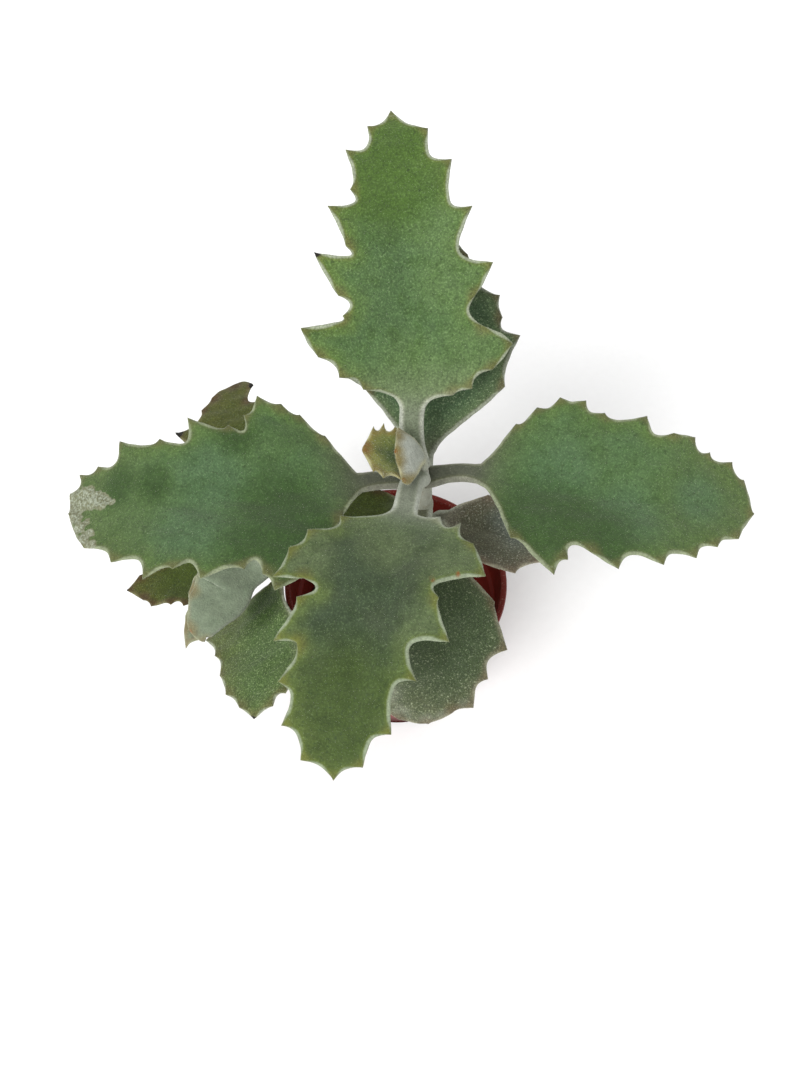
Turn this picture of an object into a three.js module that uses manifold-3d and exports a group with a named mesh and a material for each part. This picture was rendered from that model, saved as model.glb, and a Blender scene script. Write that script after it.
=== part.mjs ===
// Young felt-leaved kalanchoe in a round nursery pot.
// Millimetres, +Z up, origin at the middle of the pot's base.
// +X is right and -Y is the front, the side from which the plant is seen.
import * as THREE from "three";
import { mergeVertices } from "three/addons/utils/BufferGeometryUtils.js";
import Module from "manifold-3d";

const wasm = await Module();
wasm.setup();
const { Manifold, Mesh } = wasm;

// ---------- sizes ----------
const ROUND = 52; // sides of the pot and of the soil
const POT_H = 70; // pot height
const RIM_R = 42.5; // outside of the lip: an 8.5 cm pot
const GAP = 0.3; // between pieces that touch

// Pot wall, [radius, height], round the section from the middle of the underside.
const POT_PROFILE = [
  [0, 0], [29.4, 0], [30.2, 0.8], // underside and heel
  [37.9, 55.6], [39.6, 57.2], // tapered wall, step under the collar
  [41.0, 66.6], [42.1, 67.0], [RIM_R, 67.8], [RIM_R, 69.2], [42.0, 69.8], // collar and rolled lip
  [41.3, POT_H], [40.6, 69.7], [40.1, 68.6], // top of the lip, inner edge
  [38.7, 57.8], [37.0, 56.2], // inside of the collar and of the step
  [29.2, 1.6], [0, 1.6], // inside wall and floor, 1.6 thick
];
const DRAINS = { count: 6, ring: 19, r: 3.2 };

const FLOOR = 1.6; // top of the pot's floor
const SOIL_FLOOR = FLOOR + GAP;
const SOIL_TOP = 46; // 24 mm below the lip
const SOIL_RINGS = [6, 14, 22, 29];

// Stem: [x, y, z, radius]. It stands in a plain hole in the soil.
const STEM = [
  [8, 5, 22.5, 4.0], [8, 5, 36, 4.2], [8, 5, 50, 4.2], [8.4, 4.6, 68, 4.0], [8.6, 4.4, 72, 4.5],
  [8.8, 4.2, 76, 4.0], [9.1, 3.9, 86, 3.8], [9.2, 3.8, 89, 4.3], [9.4, 3.6, 93, 3.7],
  [9.6, 3.2, 100, 3.6], [9.6, 3.1, 104, 4.1], [9.6, 3.0, 108, 3.5], [9.5, 2.8, 113, 3.4],
  [9.4, 2.6, 117, 3.9], [9.2, 2.4, 121, 3.3], [8.9, 2.1, 127, 3.2], [8.6, 1.9, 131, 3.6],
  [8.3, 1.7, 134, 3.1], [8.1, 1.5, 137.5, 3.2], [7.9, 1.3, 140.5, 2.6], [7.8, 1.2, 142, 1.4],
];
const STEM_HOLE = { x: 8, y: 5, r: 4.6, floor: 22 };

// ---------- the leaves ----------
// spine: points of the petiole and midrib. petiole: its length along the spine.
// half: half width and half height of the petiole.
// Blade stations run along the midrib from the petiole's end, offsets run out from the midrib,
// both on the flat leaf. Each tooth is [bay station, bay offset, tip station, tip offset]:
// the bay is a rounded corner and the tip is sharp. The last tip on each side is the apex.
// left and right are as seen looking along the leaf from its stem end.
// fold: [left at base, right at base, left at tip, right at tip] in degrees.
// curl: [left, right] in degrees per 10 mm. roll: degrees about the midrib at base and tip.
// level: the direction that the leaf is kept level to, straight up unless the leaf stands upright.
// wave: height of the margin's waves, their length and start.
const LEAVES = {
  leaf_top: {
    colour: 0x5e7b50, petiole: 24, half: [4.0, 2.7], thick: 1.5,
    spine: [[6.9, 4.6, 137], [5.6, 11.5, 146], [6, 21, 154], [5, 31.5, 167], [3.5, 46.5, 182],
      [2, 65, 194], [0.5, 80, 201], [-1, 94, 205]],
    fold: [6, 6, 4, 4], curl: [-1, -1], roll: [0, 0], wave: [0.8, 24, 0.4],
    start: [-5, 4.2],
    left: [[-0.8, 6.6, 1.5, 16], [5.8, 18.2, 7, 23.5], [11.3, 24.2, 13.5, 29.5],
      [18, 32.6, 23, 34], [23.7, 20.5, 25.5, 21], [28.9, 17.1, 31.5, 21.5], [38, 25.3, 44.7, 28],
      [42.3, 15.3, 46, 18], [51.5, 19.6, 59, 22.8], [59, 13, 64, 15.5], [67.6, 13.6, 77.2, 15.8],
      [76.8, 8.3, 85.7, 8.1], [85.6, 4.2, 91.5, 0]],
    right: [[-2, 6.2, -1.2, 13], [0.2, 15.4, 0.5, 19.2], [4.3, 20.3, 5.5, 26],
      [8.5, 29.8, 12.8, 32.9], [16.8, 29.2, 19.2, 23.5], [23.8, 18.2, 28.6, 21.6],
      [32.5, 24.5, 38.5, 27.6], [41.2, 15, 56, 22.2], [56.8, 14.2, 71.8, 17.3], [72.3, 9.8, 83, 11],
      [84.5, 5.8, 91.5, 0]],
  },
  leaf_front: {
    colour: 0x667a4a, petiole: 26.8, half: [3.8, 2.8], thick: 1.5,
    spine: [[7.1, -2.2, 138.4], [5.4, -9.5, 144.8], [3, -25, 151], [-2, -46, 153], [-6, -60.5, 149.5],
      [-10.5, -73, 143], [-14, -84.5, 133], [-17, -96.5, 121]],
    fold: [6, 6, 4, 4], curl: [-1, -1], roll: [0, 0], wave: [0.8, 22, 1.6],
    start: [-1, 4.2],
    left: [[0, 7.2, -1.2, 11], [4.3, 13.9, 1, 17.6], [6.3, 18.2, 7, 22.7],
      [11, 25.2, 17, 28.3], [22.6, 13.2, 26.8, 17], [28.9, 17, 36.9, 23.1],
      [39.3, 10.4, 48.5, 17.6], [51.5, 10.5, 66.5, 14.2], [69, 8.5, 79, 7.8], [80.3, 2.8, 85, 0]],
    right: [[3.4, 7.5, 6, 18.2], [11.5, 17.3, 15, 25.5], [18.5, 25, 22, 29], [25, 29, 32, 30.7],
      [30.5, 25, 29.7, 22.3], [31.8, 16.8, 36, 22.7], [39, 21.8, 50.5, 25.2],
      [49, 19.5, 49.5, 18.3], [52.5, 17.4, 60, 20.8], [62.3, 15.3, 72, 17.6], [72.5, 12, 81, 10.4],
      [80.8, 5, 85, 0]],
  },
  leaf_left: {
    colour: 0x57755a, petiole: 25.5, half: [3.3, 2.5], thick: 1.5,
    spine: [[6.5, 3, 130], [-3, -1, 136], [-15, -5.5, 140], [-29.5, -10.5, 144.5],
      [-44.5, -14.5, 147], [-60, -16, 147], [-75.5, -17.5, 145], [-89, -17.5, 141.5],
      [-103.5, -15, 136]],
    fold: [6, 10, 2, 4], curl: [0, 0], roll: [-10, -8], wave: [0.9, 30, 2.0],
    start: [-4.4, 3.5],
    left: [[0.6, 6.9, 6, 13], [7.5, 15, 13, 21.5], [16, 24.5, 22, 31], [24.5, 32.5, 29, 34],
      [29.5, 30, 31, 28], [31.8, 21.6, 34.5, 25.7], [37.2, 24.1, 47.3, 27.8],
      [49.9, 20.7, 55.6, 23.8], [57.5, 22, 63.7, 25], [64.8, 17.3, 73.2, 17.8],
      [75.2, 13.2, 82, 12.3], [88.5, 6.3, 92.3, 0]],
    right: [[-2.2, 7, 4, 16.7], [6.2, 18, 10.6, 25.3], [13.5, 25, 17, 28.3],
      [19.8, 28.9, 24, 32.4], [26.9, 27, 30.6, 26.6], [30, 20.4, 37.8, 24], [40.3, 22, 49, 27],
      [49.4, 17.4, 58.8, 22.2], [61.5, 20, 75.8, 24.3], [75.4, 15, 85.6, 16.8],
      [87.5, 13.9, 92.3, 14.3], [90.2, 9.5, 94, 7.5], [93.4, 3.5, 92.3, 0]],
  },
  leaf_right: {
    colour: 0x55734f, petiole: 19.8, half: [3.3, 2.5], thick: 1.5,
    spine: [[11.2, 2.6, 132.6], [20, 2.7, 134.8], [29.5, -0.5, 138.5], [52.5, -9, 143],
      [77.5, -13, 142.5], [97, -14, 139], [115.5, -13.5, 134]],
    fold: [10, 3, 5, 2], curl: [0, 0], roll: [8, 8], wave: [0.9, 28, 0.8],
    start: [-2.5, 3.6],
    left: [[0.9, 8.2, 5.2, 18.9], [7.5, 19.5, 10.3, 26], [14.5, 26.5, 17.5, 30.6],
      [22.5, 30, 29, 30.3], [30.5, 25.8, 36, 27], [39, 25, 51, 29], [53, 21.8, 60.5, 23.8],
      [64, 23.9, 69.3, 24.5], [70, 18.6, 75, 20], [76, 17, 83, 17.5], [83.6, 12.3, 87, 12],
      [88.2, 7, 89.3, 0]],
    right: [[4.6, 6.6, 15.5, 21.6], [18.1, 21.2, 27.7, 31.5], [28.2, 26.2, 30.3, 25.2],
      [30.2, 18.8, 36, 21], [38, 22, 44.3, 25.5], [46.8, 19, 57, 22.2], [59, 17, 67.2, 18],
      [69, 13.4, 74, 13.8], [76, 10.4, 82, 9.7], [84.3, 6, 89.3, 0]],
  },
  leaf_back: {
    colour: 0x4a5c44, petiole: 16.3, half: [3.2, 2.4], thick: 1.5,
    spine: [[9, 6.5, 117], [9.7, 10.5, 123], [10.1, 16, 130], [11.5, 33.5, 138], [11.5, 55, 147],
      [11, 76, 155], [11, 102, 161]],
    fold: [10, 10, 5, 5], curl: [-1, -1], roll: [0, 0], wave: [0.8, 26, 0],
    start: [-1.5, 3.3],
    left: [[7, 11, 19.5, 21.6], [21.8, 23.6, 24.3, 28.6], [27.5, 27, 38, 29], [41, 25, 46.5, 27],
      [50.5, 23.5, 55, 23], [56.5, 18.5, 70, 16.5], [72.5, 11.5, 84, 8], [85, 4.5, 92, 0]],
    right: [[4.3, 6.1, 21.5, 26.2], [27, 25.8, 39.5, 31.8], [41.6, 24.9, 46, 25.9],
      [49.5, 24.4, 54, 25.3], [56, 18.5, 70.5, 14.6], [74.5, 11.5, 83.5, 8.5], [85, 4.5, 92, 0]],
  },
  leaf_front_low: {
    colour: 0x4c5c45, petiole: 12.7, half: [2.9, 2.2], thick: 1.4,
    spine: [[9.5, 0, 116], [9.6, -4, 117], [11.6, -12, 117], [14, -28.5, 112], [15, -42, 102],
      [14, -53, 90], [11.5, -61, 75]],
    fold: [4, 4, 0, 0], curl: [-4, -4], roll: [0, 0], wave: [0.5, 24, 0],
    start: [0, 3],
    left: [[4.5, 5, 23, 19], [25, 18.5, 37, 22.5], [40, 15.5, 46, 17], [48.3, 12.9, 55.5, 13.8],
      [56.8, 9, 58.3, 7.6], [62, 5.2, 67.3, 0]],
    right: [[5, 6.5, 19, 20.5], [24, 20.5, 38.5, 26.5], [44.5, 21, 56, 22.5],
      [60, 20.5, 66.5, 17.5], [68, 14.5, 69.3, 10.5], [69, 5.5, 67.3, 0]],
  },
  leaf_right_low: {
    colour: 0x4a4b3d, petiole: 7, half: [2.8, 2.1], thick: 1.4,
    spine: [[13.5, 2, 104], [16.5, 4, 107], [20, 2.5, 108], [33, -3.5, 110], [47, -6, 109],
      [66, -3, 104]],
    fold: [6, 6, 2, 2], curl: [0, 0], roll: [0, 0], wave: [0.5, 20, 1],
    start: [-1, 3],
    left: [[0.5, 5.5, 10, 13.5], [15, 14, 19.5, 19.5], [28.5, 15.5, 37.5, 17.5],
      [40.5, 12.5, 45, 11.5], [47.5, 6, 50.5, 0]],
    right: [[3, 4.5, 16, 15], [21, 15, 26, 15.5], [27.5, 12, 32.5, 10.5], [35, 7, 41, 6.5],
      [44, 3.5, 50.5, 0]],
  },
  leaf_left_low: {
    colour: 0x525b38, petiole: 7.5, half: [2.8, 2.1], thick: 1.4,
    spine: [[7.5, 4.5, 103], [3.5, 7.5, 107], [-3.5, 9, 109], [-23, 13.5, 112], [-45, 22.5, 112],
      [-64.5, 32, 109], [-82.5, 42.5, 104]],
    fold: [6, 6, 2, 2], curl: [0, 0], roll: [4, 4], wave: [0.6, 26, 2],
    start: [0, 2.9],
    left: [[2, 6, 10.5, 16.5], [15, 17, 20.5, 22.5], [24.5, 20.5, 30, 23.5], [35, 20, 43.5, 21.5],
      [49.5, 17, 61.5, 14.5], [68.5, 10, 79, 5.5], [85, 2.5, 94, 0]],
    right: [[3, 3.5, 10, 5], [15, 6, 30, 13], [37, 15.5, 51.5, 22.5], [56.5, 23.5, 69.5, 26],
      [74.5, 25.6, 78, 26], [82, 29.5, 82.3, 34.2], [88, 36.2, 90.3, 31.5], [92.8, 27.5, 93.5, 22],
      [93, 18.5, 93.6, 15], [90, 9.5, 94, 0]],
  },
  leaf_left_mid: {
    colour: 0x4b5230, petiole: 40.5, half: [2.6, 2.0], thick: 1.3,
    spine: [[6, 3, 78], [-9.5, 5, 83], [-31.5, 2, 86], [-51.5, -1, 86.5], [-73.5, -6.5, 84],
      [-99.5, -10, 79]],
    fold: [6, 6, 2, 2], curl: [0, 0], roll: [0, 0], wave: [0.4, 22, 0],
    start: [1, 2.7],
    left: [[6.5, 5.5, 17, 8.5], [22, 8.5, 32.5, 13.5], [34.5, 12, 36.8, 14.3],
      [41, 11.5, 46, 12.5], [47.5, 9.3, 50.5, 10.8], [52.5, 9, 58.5, 9], [59.5, 6.5, 61.5, 5.5],
      [65, 2.5, 68, 0]],
    right: [[5.5, 7.5, 14, 11.5], [18.5, 10, 26.5, 12.5], [31, 10.5, 40.5, 11.5], [45, 9.5, 54, 8.5],
      [57, 6, 62.5, 4.5], [65, 2.5, 68, 0]],
  },
  leaf_folded: {
    colour: 0x87927f, petiole: 53, half: [2.5, 1.9], thick: 1.2,
    spine: [[6, 2, 90], [-7.5, 3.5, 96], [-27, -2, 99], [-39.5, -7.5, 99], [-49, -16, 97],
      [-52.8, -24.5, 94.5], [-61.5, -33, 92], [-67.5, -36.5, 90], [-72, -39, 88]],
    fold: [140, 10, 150, 10], curl: [0, 0], roll: [0, 0], wave: [0, 20, 0],
    start: [1, 2.6],
    left: [[4, 8, 10, 14.5], [22, 20, 29, 17], [36.5, 13.5, 39, 7], [39, 3, 36.8, 0]],
    right: [[5, 9.5, 10, 16], [22, 21, 29, 18], [36.5, 13.8, 40.7, 7.6], [42.6, 4.3, 44.3, 1.1],
      [41.2, 1.7, 36.8, 0]],
  },
  leaf_front_left: {
    colour: 0x536844, petiole: 52.5, half: [2.6, 2.0], thick: 1.3,
    spine: [[6.5, 0.5, 72], [-7.5, -9, 79], [-26.5, -23.5, 82.5], [-35.5, -27, 80],
      [-45.5, -29.5, 76], [-57, -30.5, 70], [-66.5, -30, 64]],
    fold: [0, 0, 0, 0], curl: [-3, -3], roll: [8, 6], wave: [0.5, 20, 0],
    start: [-2, 2.9],
    left: [[0.5, 12, 7.5, 23], [10, 22, 11.5, 26], [13.5, 26, 17.5, 28.5], [19.5, 25.5, 22, 23.5],
      [24, 19.5, 27, 17], [28.5, 12, 31.5, 8.5], [32, 3, 35.5, 0]],
    right: [[2.8, 15.5, 1, 20.5], [4.5, 26.8, 10.8, 28], [22.6, 25.4, 44, 9.5], [37.6, 4.3, 35.5, 0]],
  },
  leaf_young_left: {
    colour: 0x8a8748, petiole: 8, half: [1.6, 1.0], thick: 1.2, level: [1, 0, 1],
    spine: [[6.2, 1.7, 142], [5.4, 1.4, 147.4], [2.5, -1, 151.5], [-3.5, -2.2, 154.5],
      [-9.5, -3.2, 156.5]],
    fold: [6, 14, 6, 10], curl: [5, 8], roll: [0, 0], wave: [0, 20, 0],
    start: [-1, 1.9],
    left: [[0.5, 6.5, 3.5, 12], [6, 9, 9.5, 12], [10.5, 8, 12.5, 8.5], [13, 4.5, 14.5, 0]],
    right: [[0.5, 5, 3.5, 9.5], [6, 6, 8.5, 9.5], [9.5, 5.5, 11, 7.5], [12.5, 3.5, 14.5, 0]],
  },
  leaf_young_right: {
    colour: 0xa9aca0, petiole: 2.5, half: [1.7, 1.0], thick: 1.2, level: [1, 0, 1],
    spine: [[9.3, 1, 141.4], [9.4, 0.2, 147], [8.6, -1.8, 152.3], [5.2, -4.4, 156.5], [0, -6.5, 158.8]],
    fold: [0, 0, 0, 0], curl: [3, 3], roll: [0, 0], wave: [0, 20, 0],
    start: [-0.5, 2.0],
    left: [[1.5, 6.5, 8, 9.5], [11, 8.5, 15, 10], [16.5, 6.5, 19, 7], [20, 3, 21.5, 0]],
    right: [[1.5, 6.5, 8, 9.5], [11, 8.5, 15, 10], [16.5, 6.5, 19, 7], [20, 3, 21.5, 0]],
  },
};

// ---------- small geometry helpers ----------
const rad = THREE.MathUtils.degToRad;
const lerp = THREE.MathUtils.lerp;
const clamp = THREE.MathUtils.clamp;
const vec = (x, y, z) => new THREE.Vector3(x, y, z);

// A smooth curve through the points, with its length at each sample.
function curveThrough(points, perSpan) {
  const p = points.map((q) => vec(q[0], q[1], q[2]));
  const first = p[0].clone().multiplyScalar(2).sub(p[1]);
  const last = p[p.length - 1].clone().multiplyScalar(2).sub(p[p.length - 2]);
  const q = [first, ...p, last];
  const at = [];
  for (let i = 0; i < p.length - 1; i++) {
    const [a, b, c, d] = q.slice(i, i + 4);
    for (let k = 0; k < perSpan; k++) {
      const t = k / perSpan;
      const w = (n) => {
        const square = 2 * a[n] - 5 * b[n] + 4 * c[n] - d[n];
        const cube = 3 * b[n] - a[n] - 3 * c[n] + d[n];
        return 0.5 * (2 * b[n] + (c[n] - a[n]) * t + square * t * t + cube * t ** 3);
      };
      at.push(vec(w("x"), w("y"), w("z")));
    }
  }
  at.push(p[p.length - 1].clone());
  const len = [0];
  for (let i = 1; i < at.length; i++) len.push(len[i - 1] + at[i].distanceTo(at[i - 1]));
  return { at, len, total: len[len.length - 1] };
}

function pointOn(curve, s) {
  const { at, len } = curve;
  const c = clamp(s, 0, curve.total);
  let i = 0;
  while (i < len.length - 2 && len[i + 1] < c) i++;
  const p = at[i].clone().lerp(at[i + 1], (s - len[i]) / (len[i + 1] - len[i]));
  const t = at[Math.min(i + 3, at.length - 1)].clone().sub(at[Math.max(i - 2, 0)]).normalize();
  return { p, t };
}

// The leaf's own frame at a station: along, left and up.
function frameAt(leaf, a) {
  const { p, t } = pointOn(leaf.curve, a + leaf.petiole);
  const side = vec(...(leaf.level ?? [0, 0, 1])).cross(t).normalize();
  const up = t.clone().cross(side);
  const r = rad(lerp(leaf.roll[0], leaf.roll[1], clamp(a / leaf.length, 0, 1)));
  const left = side.clone().multiplyScalar(Math.cos(r)).addScaledVector(up, Math.sin(r));
  const top = up.clone().multiplyScalar(Math.cos(r)).addScaledVector(side, -Math.sin(r));
  return { p, t, left, top };
}

// A point of the bent leaf, from its station and offset on the flat leaf.
function onLeaf(leaf, a, o) {
  const f = frameAt(leaf, a);
  const u = clamp(a / leaf.length, 0, 1);
  const k = o >= 0 ? 0 : 1;
  const q = Math.abs(o);
  const fold = rad(lerp(leaf.fold[k], leaf.fold[k + 2], u));
  const bend = rad(leaf.curl[k]) / 10;
  const straight = Math.abs(bend) < 1e-6;
  const end = fold + bend * q;
  const out = straight ? q * Math.cos(fold) : (Math.sin(end) - Math.sin(fold)) / bend;
  let lift = straight ? q * Math.sin(fold) : (Math.cos(fold) - Math.cos(end)) / bend;
  const [high, long, phase] = leaf.wave;
  lift += high * (q / 30) ** 2 * Math.sin((2 * Math.PI * a) / long + phase + (o > 0 ? 0 : 1.3));
  return f.p.addScaledVector(f.left, o >= 0 ? out : -out).addScaledVector(f.top, lift);
}

function upOnLeaf(leaf, a, o) {
  const e = 0.4;
  const along = onLeaf(leaf, a + e, o).sub(onLeaf(leaf, a - e, o));
  const across = onLeaf(leaf, a, o + e).sub(onLeaf(leaf, a, o - e));
  return along.cross(across).normalize();
}

const ROUNDING = 0.5; // share of each flank that the rounded bay takes
const WIDE_BAY = 3.2; // a bay wider than this gets three points

// One margin on the flat leaf, from the petiole to just before the apex: sharp tips, rounded bays.
function margin(start, teeth, sign) {
  const pts = [[start[0], sign * start[1]]];
  let [ta, to] = start;
  teeth.forEach(([ba, bo, na, no], i) => {
    const one = [lerp(ba, ta, ROUNDING), lerp(bo, to, ROUNDING)];
    const two = [lerp(ba, na, ROUNDING), lerp(bo, no, ROUNDING)];
    const mid = [(one[0] + 2 * ba + two[0]) / 4, (one[1] + 2 * bo + two[1]) / 4];
    const size = Math.hypot(one[0] - two[0], one[1] - two[1]);
    for (const q of size > WIDE_BAY ? [one, mid, two] : [mid]) pts.push([q[0], sign * q[1]]);
    if (i < teeth.length - 1) pts.push([na, sign * no]);
    [ta, to] = [na, no];
  });
  return pts;
}

// Cuts a simple polygon along the line where coordinate k is c. No corner lies on the line.
function cut(poly, k, c) {
  const ring = [];
  poly.forEach((p, i) => {
    const q = poly[(i + 1) % poly.length];
    ring.push({ p, side: p[k] > c });
    if (p[k] > c !== q[k] > c) {
      const t = (c - p[k]) / (q[k] - p[k]);
      const x = [0, 0];
      x[k] = c;
      x[1 - k] = p[1 - k] + (q[1 - k] - p[1 - k]) * t;
      ring.push({ p: x, crossing: true });
    }
  });
  const crossings = ring.filter((v) => v.crossing).sort((u, v) => u.p[1 - k] - v.p[1 - k]);
  crossings.forEach((v, i) => (v.mate = crossings[i ^ 1]));
  const pieces = [];
  const used = new Set();
  ring.forEach((v0, i0) => {
    if (v0.crossing || used.has(v0)) return;
    const piece = [];
    let i = i0;
    do {
      const v = ring[i];
      piece.push(v.p);
      if (v.crossing) {
        piece.push(v.mate.p);
        i = ring.indexOf(v.mate);
      } else used.add(v);
      i = (i + 1) % ring.length;
    } while (ring[i] !== v0);
    pieces.push(piece);
  });
  return pieces;
}

const cross2 = (a, b, c) => (b[0] - a[0]) * (c[1] - a[1]) - (b[1] - a[1]) * (c[0] - a[0]);

// Triangles of a small simple polygon, best-shaped ear first, with every corner kept.
function ears(poly) {
  const area = poly.reduce((s, p, i) => {
    const q = poly[(i + 1) % poly.length];
    return s + p[0] * q[1] - p[1] * q[0];
  }, 0);
  const ring = area > 0 ? [...poly] : [...poly].reverse();
  const out = [];
  while (ring.length > 3) {
    let best = -1;
    let score = -Infinity;
    ring.forEach((b, i) => {
      const a = ring[(i + ring.length - 1) % ring.length];
      const c = ring[(i + 1) % ring.length];
      const s = cross2(a, b, c);
      if (s <= 1e-7) return;
      const inside = (p) => Math.min(cross2(a, b, p), cross2(b, c, p), cross2(c, a, p)) > -1e-9;
      if (ring.some((p) => p !== a && p !== b && p !== c && inside(p))) return;
      const side = (p, q) => Math.hypot(p[0] - q[0], p[1] - q[1]);
      const long = Math.max(side(a, b), side(b, c), side(c, a));
      if (s / long ** 2 > score) [best, score] = [i, s / long ** 2];
    });
    if (best < 0) throw new Error("a leaf outline can't be filled");
    out.push([ring[(best + ring.length - 1) % ring.length], ring[best], ring[(best + 1) % ring.length]]);
    ring.splice(best, 1);
  }
  out.push(ring);
  return out;
}

// The flat blade as corners and triangles, cut into cells so that it can bend.
function flatBlade(leaf, cell) {
  const left = margin(leaf.start, leaf.left, 1);
  const right = margin(leaf.start, leaf.right, -1);
  const apex = [leaf.left[leaf.left.length - 1][2], 0];
  const root = [leaf.start[0], 0];
  let pieces = [
    [root, apex, ...left.slice().reverse()],
    [root, ...right, apex],
  ];
  const clear = (k, c) => {
    // the line is moved until it passes no corner closely
    const all = pieces.flat();
    for (let n = 0; n < 40; n++) {
      const d = c + (n % 2 ? 1 : -1) * Math.ceil(n / 2) * 0.1;
      if (all.every((p) => Math.abs(p[k] - d) > 0.12 || (k === 1 && Math.abs(p[1]) < 1e-9))) return d;
    }
    return c + 0.037;
  };
  const reach = (k, s) => Math.max(...pieces.flat().map((p) => s * p[k]));
  for (const s of [1, -1])
    for (let o = cell[1]; o < reach(1, s) - 1.5; o += cell[1]) {
      const c = clear(1, s * o);
      pieces = pieces.flatMap((p) => cut(p, 1, c));
    }
  for (let a = leaf.start[0] + cell[0]; a < reach(0, 1) - 1.5; a += cell[0]) {
    const c = clear(0, a);
    pieces = pieces.flatMap((p) => cut(p, 0, c));
  }
  const index = new Map();
  const corners = [];
  const id = (p) => {
    const key = p[0].toFixed(5) + "," + (Math.abs(p[1]) < 1e-9 ? 0 : p[1]).toFixed(5);
    if (!index.has(key)) {
      index.set(key, corners.length);
      corners.push(p);
    }
    return index.get(key);
  };
  const faces = pieces.flatMap(ears).map((t) => t.map(id));
  return { corners, faces };
}

function geometryOf(points, faces) {
  const g = new THREE.BufferGeometry();
  const flat = new Float32Array(points.flatMap((p) => [p.x, p.y, p.z]));
  g.setAttribute("position", new THREE.BufferAttribute(flat, 3));
  g.setIndex(faces.flat());
  return g;
}

function bladeGeometry(leaf, cell) {
  const { corners, faces } = flatBlade(leaf, cell);
  const top = [];
  const low = [];
  for (const [a, o] of corners) {
    const p = onLeaf(leaf, a, o);
    const n = upOnLeaf(leaf, a, o).multiplyScalar(leaf.thick / 2);
    top.push(p.clone().add(n));
    low.push(p.clone().sub(n));
  }
  const n = corners.length;
  const out = [];
  const edges = new Map();
  for (const [i, j, k] of faces) {
    out.push([i, j, k], [n + i, n + k, n + j]);
    for (const [p, q] of [[i, j], [j, k], [k, i]]) edges.set(p + "," + q, [p, q]);
  }
  for (const [p, q] of edges.values()) {
    if (edges.has(q + "," + p)) continue;
    out.push([q, p, n + p], [q, n + p, n + q]);
  }
  return geometryOf([...top, ...low], out);
}

// A closed tube through rings of points.
function tubeGeometry(rings) {
  const sides = rings[0].length;
  const points = rings.flat();
  const faces = [];
  for (let r = 0; r < rings.length - 1; r++)
    for (let i = 0; i < sides; i++) {
      const j = (i + 1) % sides;
      const [a, b, c, d] = [r * sides + i, r * sides + j, (r + 1) * sides + j, (r + 1) * sides + i];
      faces.push([a, b, c], [a, c, d]);
    }
  const last = (rings.length - 1) * sides;
  for (let i = 1; i < sides - 1; i++) faces.push([0, i + 1, i], [last, last + i, last + i + 1]);
  return geometryOf(points, faces);
}

const SUNK = 1.6; // the petiole starts this far inside the stem and is cut back to a gap

const KEEL_SHARE = 0.42; // the midrib's keel reaches this far along the blade
const KEEL_MOST = 34;
const KEEL_END = 0.28; // size of the keel where it stops, against the petiole's
const FLARE = 0.18; // the petiole widens by this at the stem, over the first FLARE_LENGTH
const FLARE_LENGTH = 5;

// Petiole, oval, running on under the blade as a fading midrib.
function petioleGeometry(leaf) {
  const SIDES = 10;
  const keel = Math.min(KEEL_SHARE * leaf.length, KEEL_MOST);
  const stations = [-SUNK];
  const steps = Math.max(4, Math.round(leaf.petiole / 5));
  for (let i = 1; i <= steps; i++) stations.push((leaf.petiole * i) / steps);
  for (let i = 1; i <= 3; i++) stations.push(leaf.petiole + (keel * i) / 3);
  const rings = stations.map((s) => {
    const a = s - leaf.petiole;
    const f = frameAt(leaf, a);
    const fade = a > 0 ? lerp(1, KEEL_END, Math.min(1, a / keel)) : 1;
    const flare = 1 + FLARE * Math.max(0, 1 - s / FLARE_LENGTH);
    const wide = leaf.half[0] * fade * flare;
    const high = leaf.half[1] * fade * flare;
    const sink = (leaf.thick / 2 - 0.15 - high) * THREE.MathUtils.smoothstep(a, -10, 0);
    return Array.from({ length: SIDES }, (_, i) => {
      const t = (2 * Math.PI * i) / SIDES;
      const p = f.p.clone().addScaledVector(f.left, wide * Math.cos(t));
      return p.addScaledVector(f.top, high * Math.sin(t) + sink);
    });
  });
  return tubeGeometry(rings);
}

function stemGeometry(extra) {
  const SIDES = 14;
  const curve = curveThrough(STEM, 1);
  const rings = STEM.map((q, i) => {
    const next = curve.at[Math.min(i + 1, STEM.length - 1)];
    const t = next.clone().sub(curve.at[Math.max(i - 1, 0)]).normalize();
    const x = vec(1, 0, 0).addScaledVector(t, -t.x).normalize();
    const y = t.clone().cross(x);
    const middle = vec(q[0], q[1], q[2]).addScaledVector(t, i === STEM.length - 1 ? extra : 0);
    return Array.from({ length: SIDES }, (_, k) => {
      const w = (2 * Math.PI * k) / SIDES;
      const r = q[3] + extra;
      return middle.clone().addScaledVector(x, r * Math.cos(w)).addScaledVector(y, r * Math.sin(w));
    });
  });
  return tubeGeometry(rings);
}

// Solid of revolution about Z from a closed section that starts and ends on the axis.
function turned(profile) {
  const points = [];
  const rows = profile.map(([r, z]) => {
    if (r === 0) return [points.push(vec(0, 0, z)) - 1];
    return Array.from({ length: ROUND }, (_, i) => {
      const t = (2 * Math.PI * i) / ROUND;
      return points.push(vec(r * Math.cos(t), r * Math.sin(t), z)) - 1;
    });
  });
  const faces = [];
  for (let k = 0; k < rows.length - 1; k++)
    for (let i = 0; i < ROUND; i++) {
      const j = (i + 1) % ROUND;
      const [p, q] = [rows[k], rows[k + 1]];
      if (p.length === 1) faces.push([p[0], q[j], q[i]]);
      else if (q.length === 1) faces.push([p[i], p[j], q[0]]);
      else faces.push([p[i], p[j], q[j]], [p[i], q[j], q[i]]);
    }
  return geometryOf(points, faces);
}

const wallInside = (z) => lerp(29.2, 37.0, (z - FLOOR) / (56.2 - FLOOR)); // as in POT_PROFILE

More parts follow.
